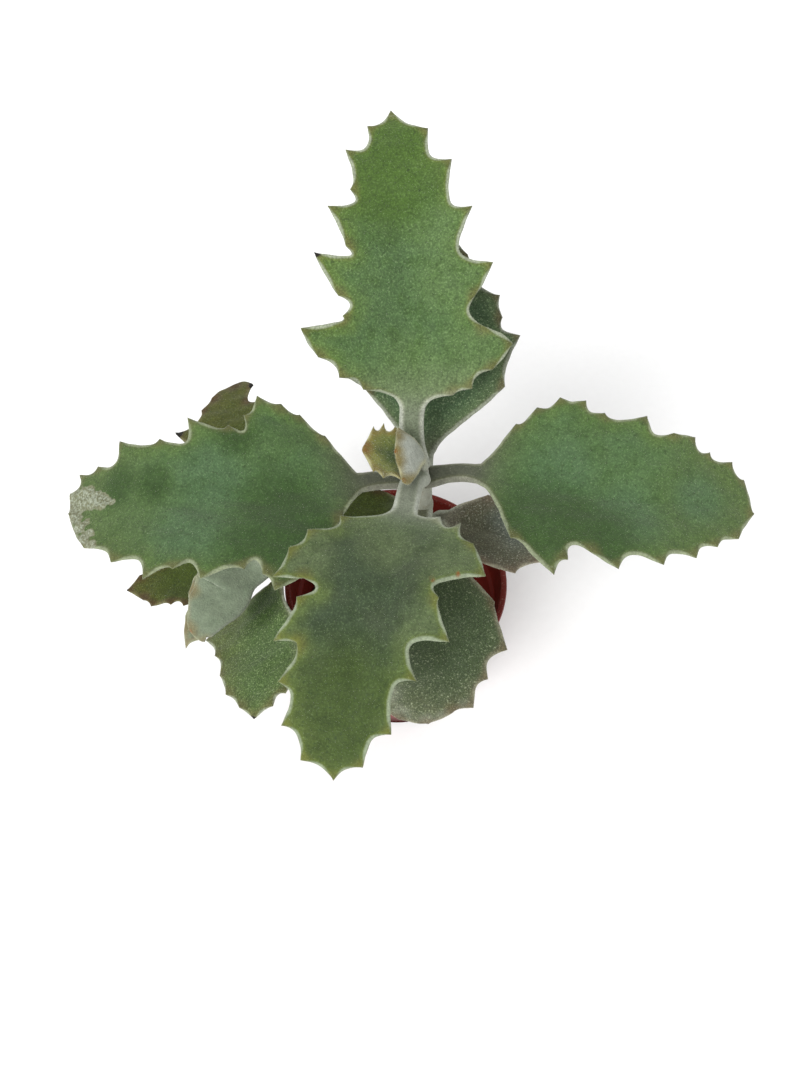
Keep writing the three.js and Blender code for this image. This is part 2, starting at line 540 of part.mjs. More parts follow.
// Height of the soil's lumps over SOIL_TOP, lower towards the wall.
function bump(x, y) {
  const across = 0.7 * Math.sin(x / 3.1 + 0.6 * Math.sin(y / 4)) + 0.6 * Math.sin(y / 3.7 + 1.1);
  return across + 0.4 * Math.sin((x + y) / 2.3) - 0.02 * Math.hypot(x, y);
}

// Soil: fills the pot up to SOIL_TOP, with an uneven top.
function soilGeometry() {
  const points = [];
  const ringAt = (r, z, uneven) =>
    Array.from({ length: ROUND }, (_, i) => {
      const t = (2 * Math.PI * i) / ROUND;
      const [x, y] = [r * Math.cos(t), r * Math.sin(t)];
      return points.push(vec(x, y, z + (uneven ? bump(x, y) : 0))) - 1;
    });
  const rows = [[points.push(vec(0, 0, SOIL_FLOOR)) - 1]];
  rows.push(ringAt(wallInside(SOIL_FLOOR) - GAP, SOIL_FLOOR));
  rows.push(ringAt(wallInside(SOIL_TOP - 2) - GAP, SOIL_TOP - 2));
  for (const r of [...SOIL_RINGS].reverse()) rows.push(ringAt(r, SOIL_TOP, true));
  rows.push([points.push(vec(0, 0, SOIL_TOP + bump(0, 0))) - 1]);
  const faces = [];
  for (let k = 0; k < rows.length - 1; k++)
    for (let i = 0; i < ROUND; i++) {
      const j = (i + 1) % ROUND;
      const [p, q] = [rows[k], rows[k + 1]];
      if (p.length === 1) faces.push([p[0], q[j], q[i]]);
      else if (q.length === 1) faces.push([p[i], p[j], q[0]]);
      else faces.push([p[i], p[j], q[j]], [p[i], q[j], q[i]]);
    }
  return geometryOf(points, faces);
}

// ---------- solids ----------
function solid(geometry) {
  const g = geometry.index ? geometry.toNonIndexed() : geometry;
  const bare = new THREE.BufferGeometry().setAttribute("position", g.getAttribute("position"));
  const m = mergeVertices(bare, 1e-4);
  const vertProperties = m.attributes.position.array;
  const triVerts = new Uint32Array(m.index.array);
  return new Manifold(new Mesh({ numProp: 3, vertProperties, triVerts }));
}

function geometryFrom(manifold) {
  const m = manifold.getMesh();
  const n = m.numProp;
  const v = new Float32Array(m.numVert * 3);
  for (let i = 0; i < m.numVert; i++) v.set(m.vertProperties.subarray(i * n, i * n + 3), i * 3);
  const g = new THREE.BufferGeometry();
  g.setAttribute("position", new THREE.BufferAttribute(v, 3));
  g.setIndex(new THREE.BufferAttribute(m.triVerts, 1));
  return g;
}

const postAt = (x, y, r, from, to, sides) => {
  const c = new THREE.CylinderGeometry(r, r, to - from, sides);
  c.rotateX(Math.PI / 2);
  c.translate(x, y, (from + to) / 2);
  c.deleteAttribute("normal");
  c.deleteAttribute("uv");
  return solid(c);
};

const group = new THREE.Group();
group.name = "potted_kalanchoe";
function add(name, shape, colour, roughness) {
  const g = geometryFrom(shape);
  g.computeVertexNormals();
  const mesh = new THREE.Mesh(g, new THREE.MeshStandardMaterial({ color: colour, roughness }));
  mesh.name = name;
  group.add(mesh);
}

let pot = solid(turned(POT_PROFILE));
for (let i = 0; i < DRAINS.count; i++) {
  const t = (2 * Math.PI * (i + 0.5)) / DRAINS.count;
  pot = pot.subtract(postAt(DRAINS.ring * Math.cos(t), DRAINS.ring * Math.sin(t), DRAINS.r, -1, 2.4, 16));
}
add("pot", pot, 0x6e2621, 0.5);

const hole = postAt(STEM_HOLE.x, STEM_HOLE.y, STEM_HOLE.r, STEM_HOLE.floor, SOIL_TOP + 8, 20);
add("soil", solid(soilGeometry()).subtract(hole), 0x2b2019, 0.95);

add("stem", solid(stemGeometry(0)), 0x8d8b80, 0.9);

const roomForStem = solid(stemGeometry(GAP));
const SMALL_LEAF = 30; // a blade shorter than this is cut into smaller cells
for (const [name, given] of Object.entries(LEAVES)) {
  const curve = curveThrough(given.spine, 24);
  const leaf = { ...given, curve, length: given.left[given.left.length - 1][2] };
  const cell = leaf.length < SMALL_LEAF ? [6, 5] : [11, 9];
  const blade = solid(bladeGeometry(leaf, cell));
  add(name, blade.add(solid(petioleGeometry(leaf))).subtract(roomForStem), leaf.colour, 0.85);
}

export default group;
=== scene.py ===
# %% [markdown]
# # A young felt-leaved kalanchoe in its nursery pot
# The plant is one upright stem with thick toothed leaves that grow in pairs, each pair turned a
# quarter from the one below. It stands in dark potting mix in a thin red-brown plastic pot.
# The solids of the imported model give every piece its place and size. Here each leaf is built again
# from the same few sizes, finely enough for rounded edges, and gets its felt. Sizes are written in
# millimetres and turned to metres once, where a mesh is made.

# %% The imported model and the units
import math

import bpy
import numpy as np
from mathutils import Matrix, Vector, geometry


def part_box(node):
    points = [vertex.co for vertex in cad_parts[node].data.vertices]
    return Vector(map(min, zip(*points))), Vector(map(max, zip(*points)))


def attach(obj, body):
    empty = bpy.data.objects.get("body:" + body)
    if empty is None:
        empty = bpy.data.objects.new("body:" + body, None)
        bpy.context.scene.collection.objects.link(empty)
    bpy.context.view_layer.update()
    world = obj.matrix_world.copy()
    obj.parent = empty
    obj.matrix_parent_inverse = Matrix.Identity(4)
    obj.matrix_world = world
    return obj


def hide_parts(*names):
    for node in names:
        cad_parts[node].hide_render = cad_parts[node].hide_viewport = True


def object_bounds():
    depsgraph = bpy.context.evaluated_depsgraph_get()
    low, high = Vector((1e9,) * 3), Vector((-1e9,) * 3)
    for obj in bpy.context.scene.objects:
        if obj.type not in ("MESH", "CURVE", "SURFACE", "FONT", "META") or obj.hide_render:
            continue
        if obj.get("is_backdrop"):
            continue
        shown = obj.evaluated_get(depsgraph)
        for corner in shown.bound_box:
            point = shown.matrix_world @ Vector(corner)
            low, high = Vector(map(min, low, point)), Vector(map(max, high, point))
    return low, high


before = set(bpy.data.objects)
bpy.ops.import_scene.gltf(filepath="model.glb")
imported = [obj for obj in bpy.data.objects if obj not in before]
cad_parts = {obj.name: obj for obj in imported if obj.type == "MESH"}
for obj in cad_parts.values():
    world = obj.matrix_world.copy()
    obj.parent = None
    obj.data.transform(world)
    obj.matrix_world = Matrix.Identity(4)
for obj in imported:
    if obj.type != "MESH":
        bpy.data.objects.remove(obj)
cad_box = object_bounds()
MM = 0.001
print("nodes:", len(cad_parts), "box in mm:", [round(v / MM, 1) for v in cad_box[1] - cad_box[0]])

# %% [markdown]
# ## The camera
# The photograph looks down at the plant from the front, steeply enough to see into the pot. Its
# lip and the front edge of its base both show, so their known sizes fix the height and the
# distance of the camera. A camera could be turned by angles, but aiming it at a point inside the
# pot's rim is easier to read and to correct.

# %% Camera
PHOTO_HIGH = 1080  # pixels
FOCAL_PIXELS = 1000
SENSOR = 36  # mm
NEAREST = 10  # mm in front of the lens that show
CAMERA_AT = Vector((3.5, -192.8, 400.6)) * MM
CAMERA_AIM = Vector((3.5, 17.8, 70)) * MM

lens = bpy.data.cameras.new("camera")
lens.sensor_width = SENSOR
lens.sensor_fit = "AUTO"
lens.lens = FOCAL_PIXELS * SENSOR / PHOTO_HIGH
lens.clip_start = NEAREST * MM
camera = bpy.data.objects.new("camera", lens)
bpy.context.scene.collection.objects.link(camera)
camera.location = CAMERA_AT
camera.rotation_euler = (CAMERA_AIM - CAMERA_AT).to_track_quat("-Z", "Y").to_euler()
bpy.context.scene.camera = camera
print("lens:", round(lens.lens, 2), "distance in mm:", round((CAMERA_AIM - CAMERA_AT).length / MM))

# %% [markdown]
# ## Small helpers
# Colours are picked as they look on a screen and must be turned to linear light for the shader.
# Every shader and geometry tree is a list of nodes with settings and links, so one function adds
# any node: a value goes into the socket, and another node's socket is linked to it.

# %% Helpers for colours, nodes and pieces
# a Mix node has its sockets once for each kind of value: these are the colours' numbers
COLOUR_A, COLOUR_B, MIXED = 6, 7, 2


def linear(hex_colour):
    parts = [int(hex_colour[i:i + 2], 16) / 255 for i in (1, 3, 5)]
    return tuple(c / 12.92 if c <= 0.04045 else ((c + 0.055) / 1.055) ** 2.4 for c in parts) + (1,)


def add_node(tree, kind, inputs=None, **settings):
    made = tree.nodes.new(kind)
    for name, value in settings.items():
        setattr(made, name, value)
    for name, value in (inputs or {}).items():
        socket = made.inputs[name]
        if isinstance(value, bpy.types.NodeSocket):
            tree.links.new(value, socket)
        else:
            socket.default_value = value
    return made


def new_material(name):
    """An empty material and its tree. The shader is linked to the output by finish_material."""
    material = bpy.data.materials.new(name)
    material.use_nodes = True
    material.node_tree.nodes.clear()
    return material, material.node_tree


def finish_material(tree, shader):
    add_node(tree, "ShaderNodeOutputMaterial", {"Surface": shader.outputs[0]})


def place_piece(piece, node=None):
    """Every piece belongs to the one rigid body, and may stand for a plain solid."""
    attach(piece, "root")
    if node:
        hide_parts(node)


def mesh_object(name, points_mm, faces, attributes=None):
    mesh = bpy.data.meshes.new(name)
    mesh.from_pydata((np.asarray(points_mm) * MM).tolist(), [], faces)
    for title, values in (attributes or {}).items():
        mesh.attributes.new(title, "FLOAT", "POINT").data.foreach_set("value", np.asarray(values, "f"))
    mesh.shade_smooth()
    made = bpy.data.objects.new(name, mesh)
    bpy.context.scene.collection.objects.link(made)
    return made


def tree_inputs(tree, sockets):
    """Declares a geometry tree's sockets and gives each input's identifier by name."""
    tree.interface.new_socket("Geometry", in_out="OUTPUT", socket_type="NodeSocketGeometry")
    tree.interface.new_socket("Geometry", in_out="INPUT", socket_type="NodeSocketGeometry")
    for title, kind in sockets.items():
        tree.interface.new_socket(title, in_out="INPUT", socket_type="NodeSocket" + kind)
    return {i.name: i.identifier for i in tree.interface.items_tree if i.in_out == "INPUT"}


def at_random(tree, tilt, scales, seed):
    """For each instance a turn all round, tilted to any side by up to tilt, and a scale."""
    tilt_back = add_node(tree, "ShaderNodeMath", operation="MULTIPLY", inputs={0: tilt, 1: -1.0}).outputs[0]
    low, high = (add_node(tree, "ShaderNodeCombineXYZ", {"X": lean, "Y": lean, "Z": turn}).outputs[0]
                 for lean, turn in ((tilt_back, -math.pi), (tilt, math.pi)))
    turned = add_node(tree, "FunctionNodeRandomValue", data_type="FLOAT_VECTOR", inputs={
        0: low, 1: high, "Seed": seed})
    scaled = add_node(tree, "FunctionNodeRandomValue", data_type="FLOAT", inputs={
        2: scales[0], 3: scales[1], "Seed": seed})
    return turned.outputs[0], scaled.outputs[1]


def end_tree(tree, shape, material, smooth=False):
    """Every tree ends alike: its instances are made real, and the whole gets its material."""
    real = add_node(tree, "GeometryNodeRealizeInstances", {"Geometry": shape})
    if smooth:
        real = add_node(tree, "GeometryNodeSetShadeSmooth", {"Geometry": real.outputs["Geometry"]})
    dressed = add_node(tree, "GeometryNodeSetMaterial", {
        "Geometry": real.outputs["Geometry"], "Material": material})
    add_node(tree, "NodeGroupOutput", {"Geometry": dressed.outputs["Geometry"]})
    print("tree:", tree.name, "with", len(tree.nodes), "nodes")


def grow(name, tree, names, base, values):
    """Runs a geometry tree on a copy of base and gives the result as a plain mesh object."""
    carrier = bpy.data.objects.new("carrier", base.data)
    bpy.context.scene.collection.objects.link(carrier)
    modifier = carrier.modifiers.new("tree", "NODES")
    modifier.node_group = tree
    for title, value in values.items():
        modifier[names[title]] = value
    graph = bpy.context.evaluated_depsgraph_get()
    mesh = bpy.data.meshes.new_from_object(carrier.evaluated_get(graph))
    carrier.modifiers.remove(modifier)
    bpy.data.objects.remove(carrier)
    mesh.name = name
    made = bpy.data.objects.new(name, mesh)
    bpy.context.scene.collection.objects.link(made)
    return made


def sleeve_faces(rows, sides, capped=True):
    """The faces of rows of points one above the other. Caps go to two more points, bottom and top."""
    row, k = np.meshgrid(np.arange(rows - 1), np.arange(sides), indexing="ij")
    here, there = row * sides + k, row * sides + (k + 1) % sides
    faces = np.stack([here, there, there + sides, here + sides], -1).reshape(-1, 4).tolist()
    if capped:
        bottom, last = rows * sides, (rows - 1) * sides
        for k in range(sides):
            after = (k + 1) % sides
            faces.append([bottom, after, k])
            faces.append([bottom + 1, last + k, last + after])
    return faces


print("white is", linear("#ffffff"))

# %% [markdown]
# ## The pot's plastic
# The pot is polypropylene, moulded thin from recycled stock and coloured red-brown. Such plastic
# has a low, waxy gloss, a faint orange-peel skin, and in a nursery it gathers a bloom of lime and
# dust on the lip and a little round the foot, where water dries. Towards the foot the colour is
# darkened with painted shade. The skin is a fine bump, and the lime is a pale colour that a noise
# lets through only in specks.

# %% Moulded polypropylene
PLASTIC_IOR = 1.49
# what changes with the height: where in mm it begins and ends to change, and its values there
POT_BANDS = {
    "lime on the lip": (65, 70, 0.0, 0.75), "lime at the foot": (7, 0, 0.0, 0.12),
    # the band that darkens the colour towards the foot is painted shade, the foot's own shadow
    "painted_foot_shade": (16, 3, 0.0, 0.95), "shine, dulled by dirt": (16, 3, 0.2, 0.0),
}
# the size in mm and the detail of each noise
POT_NOISES = {"orange-peel skin": (0.9, 2.0), "clouds": (14, 4.0), "specks": (0.7, 3.0)}


def pot_plastic():
    material, tree = new_material("moulded polypropylene")
    place = add_node(tree, "ShaderNodeTexCoord").outputs["Object"]
    height = add_node(tree, "ShaderNodeSeparateXYZ", {"Vector": place}).outputs["Z"]
    skin, cloud, speck = (add_node(tree, "ShaderNodeTexNoise", {
        "Vector": place, "Scale": 1 / (size * MM), "Detail": detail}).outputs["Fac"]
        for size, detail in POT_NOISES.values())
    lip, foot, painted_foot_shade, shine = (add_node(
        tree, "ShaderNodeMapRange", interpolation_type="SMOOTHSTEP", inputs={
            "Value": height, "From Min": begin * MM, "From Max": end * MM,
            "To Min": first, "To Max": last}).outputs[0]
        for begin, end, first, last in POT_BANDS.values())
    tone = add_node(tree, "ShaderNodeMix", data_type="RGBA", inputs={
        "Factor": cloud, COLOUR_A: linear("#671a13"), COLOUR_B: linear("#7b2a22")})
    # painted shade: the colour darkens to a near black red towards the foot
    darkened = add_node(tree, "ShaderNodeMix", data_type="RGBA", inputs={
        "Factor": painted_foot_shade, COLOUR_A: tone.outputs[MIXED], COLOUR_B: linear("#300806")})
    # lime shows as grains where the noise is high, more of them near the lip and the foot
    lime = add_node(tree, "ShaderNodeMath", operation="MAXIMUM", inputs={0: lip, 1: foot})
    grains = add_node(tree, "ShaderNodeMapRange", interpolation_type="SMOOTHSTEP", inputs={
        "Value": speck, "From Min": 0.56, "From Max": 0.70})
    drift = add_node(tree, "ShaderNodeMath", operation="MULTIPLY", inputs={0: lime.outputs[0], 1: cloud})
    dust = add_node(tree, "ShaderNodeMath", operation="MULTIPLY", inputs={
        0: grains.outputs[0], 1: drift.outputs[0]})
    colour = add_node(tree, "ShaderNodeMix", data_type="RGBA", inputs={
        "Factor": dust.outputs[0], COLOUR_A: darkened.outputs[MIXED], COLOUR_B: linear("#b2948a")})
    gloss = add_node(tree, "ShaderNodeMapRange", inputs={"Value": cloud, "To Min": 0.36, "To Max": 0.52})
    bump = add_node(tree, "ShaderNodeBump", inputs={
        "Height": skin, "Strength": 0.25, "Distance": 0.15 * MM})
    shader = add_node(tree, "ShaderNodeBsdfPrincipled", {
        "Base Color": colour.outputs[MIXED], "Roughness": gloss.outputs[0],
        "Normal": bump.outputs[0], "IOR": PLASTIC_IOR, "Specular IOR Level": shine})
    finish_material(tree, shader)
    return material


PLASTIC = pot_plastic()
print("material:", PLASTIC.name)

# %% [markdown]
# ## The pot
# A nursery pot is a thin cone with a collar and a rolled lip, so one section turned about the
# upright axis gives all of it, inside and out. The section is drawn as a curve with rounded
# corners, and a geometry tree sweeps it round a circle, closes it on the axis and cuts the drain
# holes, so that the holes follow from a count, a ring and a radius.

# %% The pot's section
POT_HIGH = (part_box("pot")[1].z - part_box("pot")[0].z) / MM
RIM_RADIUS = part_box("pot")[1].x / MM
FLOOR, FLOOR_RADIUS = 1.6, 29.2
WALL_TOP, WALL_RADIUS = 56.2, 37.0  # the inside of the wall, under the collar
# [radius, height, corner radius], from the middle of the underside round to the middle of the floor
POT_SECTION = (
    (0, 0, 0), (29.9, 0, 1.2), (31.0, 5.2, 0.3), (31.3, 5.4, 0.3), (37.9, 55.6, 0.6),
    (39.6, 57.2, 0.5), (41.0, 66.5, 0.4), (RIM_RADIUS, 67.1, 0.8), (RIM_RADIUS, POT_HIGH, 1.4),
    (40.2, POT_HIGH, 0.9), (38.7, 57.8, 0.5), (WALL_RADIUS, WALL_TOP, 0.5),
    (FLOOR_RADIUS, FLOOR, 0.8), (0, FLOOR, 0),
)


CORNER_STEPS, CORNER_SHARE = 5, 0.45  # a corner takes at most this share of each side


def rounded_section(corners):
    """The section's points, each inner corner rounded by a small quadratic curve."""
    points = [Vector(corners[0][:2])]
    for before, here, after in zip(corners, corners[1:], corners[2:]):
        corner = Vector(here[:2])
        back, ahead = Vector(before[:2]) - corner, Vector(after[:2]) - corner
        reach = min(here[2], back.length * CORNER_SHARE, ahead.length * CORNER_SHARE)
        start, end = corner + back.normalized() * reach, corner + ahead.normalized() * reach
        for k in range(CORNER_STEPS + 1):
            t = k / CORNER_STEPS
            points.append(start * (1 - t) ** 2 + corner * 2 * t * (1 - t) + end * t * t)
    return points + [Vector(corners[-1][:2])]


section_points = rounded_section(POT_SECTION)[::-1]  # the sweep hangs a section's Y downwards
section = bpy.data.curves.new("pot section", "CURVE")
section.dimensions = "3D"
line = section.splines.new("POLY")
line.points.add(len(section_points) - 1)
section_object = bpy.data.objects.new("pot section", section)
print("pot section:", len(section_points), "points, rim radius", RIM_RADIUS, "height", POT_HIGH)

# %% A tree that turns a section and cuts drain holes
WELD = 0.01
DRILL_SIDES = 32
pot_tree = bpy.data.node_groups.new("turned pot", "GeometryNodeTree")
pot_names = tree_inputs(pot_tree, {
    "Path radius": "Float", "Sides": "Int", "Drain holes": "Int", "Drain ring": "Float",
    "Drain radius": "Float", "Material": "Material"})
given = add_node(pot_tree, "NodeGroupInput").outputs
path = add_node(pot_tree, "GeometryNodeCurvePrimitiveCircle", {
    "Resolution": given["Sides"], "Radius": given["Path radius"]})
upright = add_node(pot_tree, "GeometryNodeSetCurveNormal", {"Curve": path.outputs["Curve"]},
                   mode="Z_UP")
swept = add_node(pot_tree, "GeometryNodeCurveToMesh", {
    "Curve": upright.outputs["Curve"], "Profile Curve": given["Geometry"]})
shell = add_node(pot_tree, "GeometryNodeMergeByDistance", {
    "Geometry": swept.outputs["Mesh"], "Distance": WELD * MM})
ring = add_node(pot_tree, "GeometryNodeMeshCircle", {
    "Vertices": given["Drain holes"], "Radius": given["Drain ring"]})
drill = add_node(pot_tree, "GeometryNodeMeshCylinder", {
    "Vertices": DRILL_SIDES, "Radius": given["Drain radius"], "Depth": 3 * FLOOR * MM})
drills = add_node(pot_tree, "GeometryNodeInstanceOnPoints", {
    "Points": ring.outputs["Mesh"], "Instance": drill.outputs["Mesh"]})
holes = add_node(pot_tree, "GeometryNodeRealizeInstances", {"Geometry": drills.outputs["Instances"]})
drilled = add_node(pot_tree, "GeometryNodeMeshBoolean", {
    "Mesh 1": shell.outputs["Geometry"], "Mesh 2": holes.outputs["Geometry"]}, operation="DIFFERENCE")
end_tree(pot_tree, drilled.outputs["Mesh"], given["Material"], smooth=True)

# %% The pot itself
PATH_RADIUS = 20
SIDES = 144
DRAINS = {"holes": 6, "ring": 19, "radius": 3.2}
for corner, point in zip(line.points, section_points):
    corner.co = ((point.x - PATH_RADIUS) * MM, -point.y * MM, 0, 1)
pot = grow("pot_shell", pot_tree, pot_names, section_object, {
    "Path radius": PATH_RADIUS * MM, "Sides": SIDES, "Drain holes": DRAINS["holes"],
    "Drain ring": DRAINS["ring"] * MM, "Drain radius": DRAINS["radius"] * MM, "Material": PLASTIC})
place_piece(pot, "pot")
print("pot:", len(pot.data.polygons), "faces, box in mm", [round(v / MM, 1) for v in pot.dimensions])

# %% [markdown]
# ## How a leaf bends
# A leaf is drawn flat first, as a maker would cut it from felt: stations run along its midrib and
# offsets run out to each side. Then the flat leaf is laid on a bent surface. A smooth curve
# through a few points carries the midrib, and each half rises from it by a fold at the midrib and
# a curl further out. One set of formulas gives every leaf its shape from a few named numbers.

# %% Curves and leaf surface
CREASE = 1.8  # width in mm over which a leaf turns at its midrib
CREASE_PARTS = 8  # the turn of the crease is added up in this many steps
OPENING = (-2, 6)  # stations from the margin's start over which the stalk opens to the blade
VALLEY = (1.5, 8)  # depth and half width of the hollow along a midrib
VALLEY_BEGINS, VALLEY_ENDS = (0.02, 0.2), (0.45, 0.95)  # shares of the blade's length
FULL_WAVE = 30  # distance from the midrib at which a margin's waves have their full height
RIGHT_PHASE = 1.3  # the right margin's waves run ahead by this, in radians
SWELLING, SWELLING_WAVES = 0.14, (17, 13, 9.5, 7)  # height and lengths of low swellings
SWELLS_OVER = (-4, 6)  # stations over which the swellings begin
ALMOST_NONE = 1e-6


def smoothstep(x, low, high):
    t = np.clip((x - low) / (high - low), 0, 1)
    return t * t * (3 - 2 * t)


def curve_through(points, per_span=24):
    """A smooth curve through the points: positions, tangents and length at close samples."""
    p = np.asarray(points, float)
    q = np.vstack([2 * p[0] - p[1], p, 2 * p[-1] - p[-2]])
    t = np.arange(per_span)[:, None] / per_span
    spans = []
    for a, b, c, d in zip(q, q[1:], q[2:], q[3:]):
        square, cube = 2 * a - 5 * b + 4 * c - d, 3 * b - a - 3 * c + d
        spans.append(0.5 * (2 * b + (c - a) * t + square * t ** 2 + cube * t ** 3))
    at = np.vstack(spans + [p[-1:]])
    steps = np.linalg.norm(np.diff(at, axis=0), axis=1)
    length = np.concatenate([[0], np.cumsum(steps)])
    tangent = np.gradient(at, length, axis=0)
    return {"at": at, "tangent": tangent, "length": length}


def on_curve(curve, s):
    """Points and unit tangents at the lengths s, straight on past either end."""
    length = curve["length"]
    inside = np.clip(s, 0, length[-1])
    point = np.stack([np.interp(inside, length, curve["at"][:, k]) for k in range(3)], -1)
    tangent = np.stack([np.interp(inside, length, curve["tangent"][:, k]) for k in range(3)], -1)
    tangent /= np.linalg.norm(tangent, axis=-1, keepdims=True)
    return point + tangent * (s - inside)[..., None], tangent


def leaf_frame(leaf, a):
    """The leaf's own frame at the stations a: place, left and top."""
    point, along = on_curve(leaf["curve"], a + leaf["petiole"])
    side = np.cross(np.broadcast_to(leaf.get("level", (0, 0, 1)), along.shape), along)
    side /= np.linalg.norm(side, axis=-1, keepdims=True)
    up = np.cross(along, side)
    share = np.clip(a / leaf["length"], 0, 1)
    r = np.radians(leaf["roll"][0] + (leaf["roll"][1] - leaf["roll"][0]) * share)[..., None]
    return point, side * np.cos(r) + up * np.sin(r), up * np.cos(r) - side * np.sin(r)


def bent_across(leaf, a, o):
    """How far out and how high a point lies in the leaf's own frame."""
    share = np.clip(a / leaf["length"], 0, 1)
    k = (o < 0).astype(int)
    fold = np.asarray(leaf["fold"], float)
    start = leaf["start"][0]
    opening = smoothstep(a, start + OPENING[0], start + OPENING[1])
    angle = np.radians(fold[k] + (fold[k + 2] - fold[k]) * share) * opening
    bend = np.radians(np.asarray(leaf["curl"], float)[k]) / 10 * opening
    bend = np.where(np.abs(bend) < ALMOST_NONE, ALMOST_NONE, bend)
    q = np.abs(o)
    crease = np.minimum(q, CREASE)
    out, lift = np.zeros_like(q), np.zeros_like(q)
    for i in range(CREASE_PARTS):
        s = crease * (i + 0.5) / CREASE_PARTS
        turned = angle * smoothstep(s, 0, CREASE) + bend * s
        out = out + np.cos(turned) * crease / CREASE_PARTS
        lift = lift + np.sin(turned) * crease / CREASE_PARTS
    begin, end = angle + bend * crease, angle + bend * q
    out = out + (np.sin(end) - np.sin(begin)) / bend
    lift = lift + (np.cos(begin) - np.cos(end)) / bend
    deep, wide = leaf.get("valley", VALLEY)
    valley = deep * smoothstep(share, *VALLEY_BEGINS) * (1 - smoothstep(share, *VALLEY_ENDS))
    lift = lift - valley * np.exp(-(q / wide) ** 2)
    high, long, phase = leaf["wave"]
    turn = 2 * np.pi * a / long + phase + np.where(o > 0, 0, RIGHT_PHASE)
    lift = lift + high * (q / FULL_WAVE) ** 2 * np.sin(turn)
    return np.where(o >= 0, out, -out), lift


def leaf_relief(leaf, a, o):
    """Low swellings that a hand would feel, a few tenths of a millimetre high."""
    rng = np.random.default_rng(leaf["seed"])
    height = np.zeros_like(a)
    for wave_length in SWELLING_WAVES:
        turn, phase = rng.uniform(0, 2 * np.pi, 2)
        height += np.sin(2 * np.pi * (a * np.cos(turn) + o * np.sin(turn)) / wave_length + phase)
    return height * SWELLING * smoothstep(a, *SWELLS_OVER)


def on_leaf(leaf, a, o):
    point, left, top = leaf_frame(leaf, a)
    out, lift = bent_across(leaf, a, o)
    lift = lift + leaf_relief(leaf, a, o)
    return point + left * out[..., None] + top * lift[..., None]


def leaf_up(leaf, a, o, reach=0.35):
    along = on_leaf(leaf, a + reach, o) - on_leaf(leaf, a - reach, o)
    across = on_leaf(leaf, a, o + reach) - on_leaf(leaf, a, o - reach)
    up = np.cross(along, across)
    return up / np.linalg.norm(up, axis=-1, keepdims=True)


print("a crease is", CREASE, "mm wide")

# %% [markdown]
# ## The flat leaf
# The margin has rounded bays and sharp tips. It is drawn tooth by tooth from the bay and the tip,
# with a slight hand wobble, and the stalk is a strip that runs into the blade. The blade is then
# filled with points, close together by the margin where the surface turns over, and a constrained
# triangulation joins them. A grid cut to shape would leave ragged teeth.

# %% Outline and filling of a flat leaf
EDGE_STEP, CAP_STEP = 0.75, 0.8
STALK_STEP = EDGE_STEP * 1.3
JOIN_GAP = 1.2  # the stalk's margin stops this far before the blade's
BAY_ROUNDING, BAY_SHARE = 1.0, 0.3  # half a bay's round end in mm, and at most as a share of its width
SUNK = 1.4  # the stalk starts this far inside the stem
FLARE, FLARE_LENGTH = 0.22, 6
KEEL_SHARE, KEEL_MOST, KEEL_END = 0.42, 34, 0.2
WOBBLE, WOBBLE_WAVES, WOBBLE_ENDS = 0.045, (5.3, 8.1, 12.7), 6  # height, lengths, still points
WOBBLE_PHASES = 6.28  # radians, about a full turn
INSETS = (0.14, 0.38, 0.75, 1.25)  # rows of points that follow the margin
THINNED_FROM = 0.5  # rows further in than this keep every second point
KEPT_CLEAR = 0.88  # a point keeps this share of its inset from the whole margin
FILL_STEP, ROW_SHARE, FILL_CLEAR = 1.6, 0.866, 0.45  # the even field inside, in rows of triangles


def stalk_half_width(leaf, a):
    from_stem = a + leaf["petiole"]
    keel = min(KEEL_SHARE * leaf["length"], KEEL_MOST)
    fade = 1 - (1 - KEEL_END) * np.clip(a / keel, 0, 1)
    return fade * (1 + FLARE * np.clip(1 - from_stem / FLARE_LENGTH, 0, 1))


def margin(leaf, side):
    """One margin from the stalk to the apex, and its tooth tips. side is 1 for left, -1 for right."""
    teeth = leaf["left"] if side > 0 else leaf["right"]
    before = np.array(leaf["start"], float)
    points, tips = [], []
    for bay_a, bay_o, tip_a, tip_o in teeth:
        bay, tip = np.array([bay_a, bay_o], float), np.array([tip_a, tip_o], float)
        size = np.hypot(*(before - bay)) + np.hypot(*(tip - bay))
        n = max(4, int(round(size / EDGE_STEP)))
        width = before - tip
        round_off = width * min(BAY_ROUNDING / max(np.hypot(*width), 1e-9), BAY_SHARE)
        for k in range(n):  # a curve that leaves both tips towards the bay
            t = k / n
            pull = (bay + round_off) * (1 - t) + (bay - round_off) * t
            points.append(before * (1 - t) ** 3 + pull * 3 * t * (1 - t) + tip * t ** 3)
        tips.append(tip)
        before = tip
    flip = np.array([1, side])
    return np.array(points) * flip, np.array(tips) * flip


def wobbled(points, seed):
    """Moves a margin in and out a little, as growth does."""
    rng = np.random.default_rng(seed)
    step = np.gradient(points, axis=0)
    normal = np.stack([-step[:, 1], step[:, 0]], -1)
    normal /= np.maximum(np.linalg.norm(normal, axis=1, keepdims=True), 1e-9)
    run = np.cumsum(np.hypot(*step.T))
    shift = sum(np.sin(2 * np.pi * run / w + rng.uniform(0, WOBBLE_PHASES)) for w in WOBBLE_WAVES)
    ends = np.minimum(np.arange(len(points)), np.arange(len(points))[::-1])
    return points + normal * (shift * WOBBLE * np.clip(ends / WOBBLE_ENDS, 0, 1))[:, None]


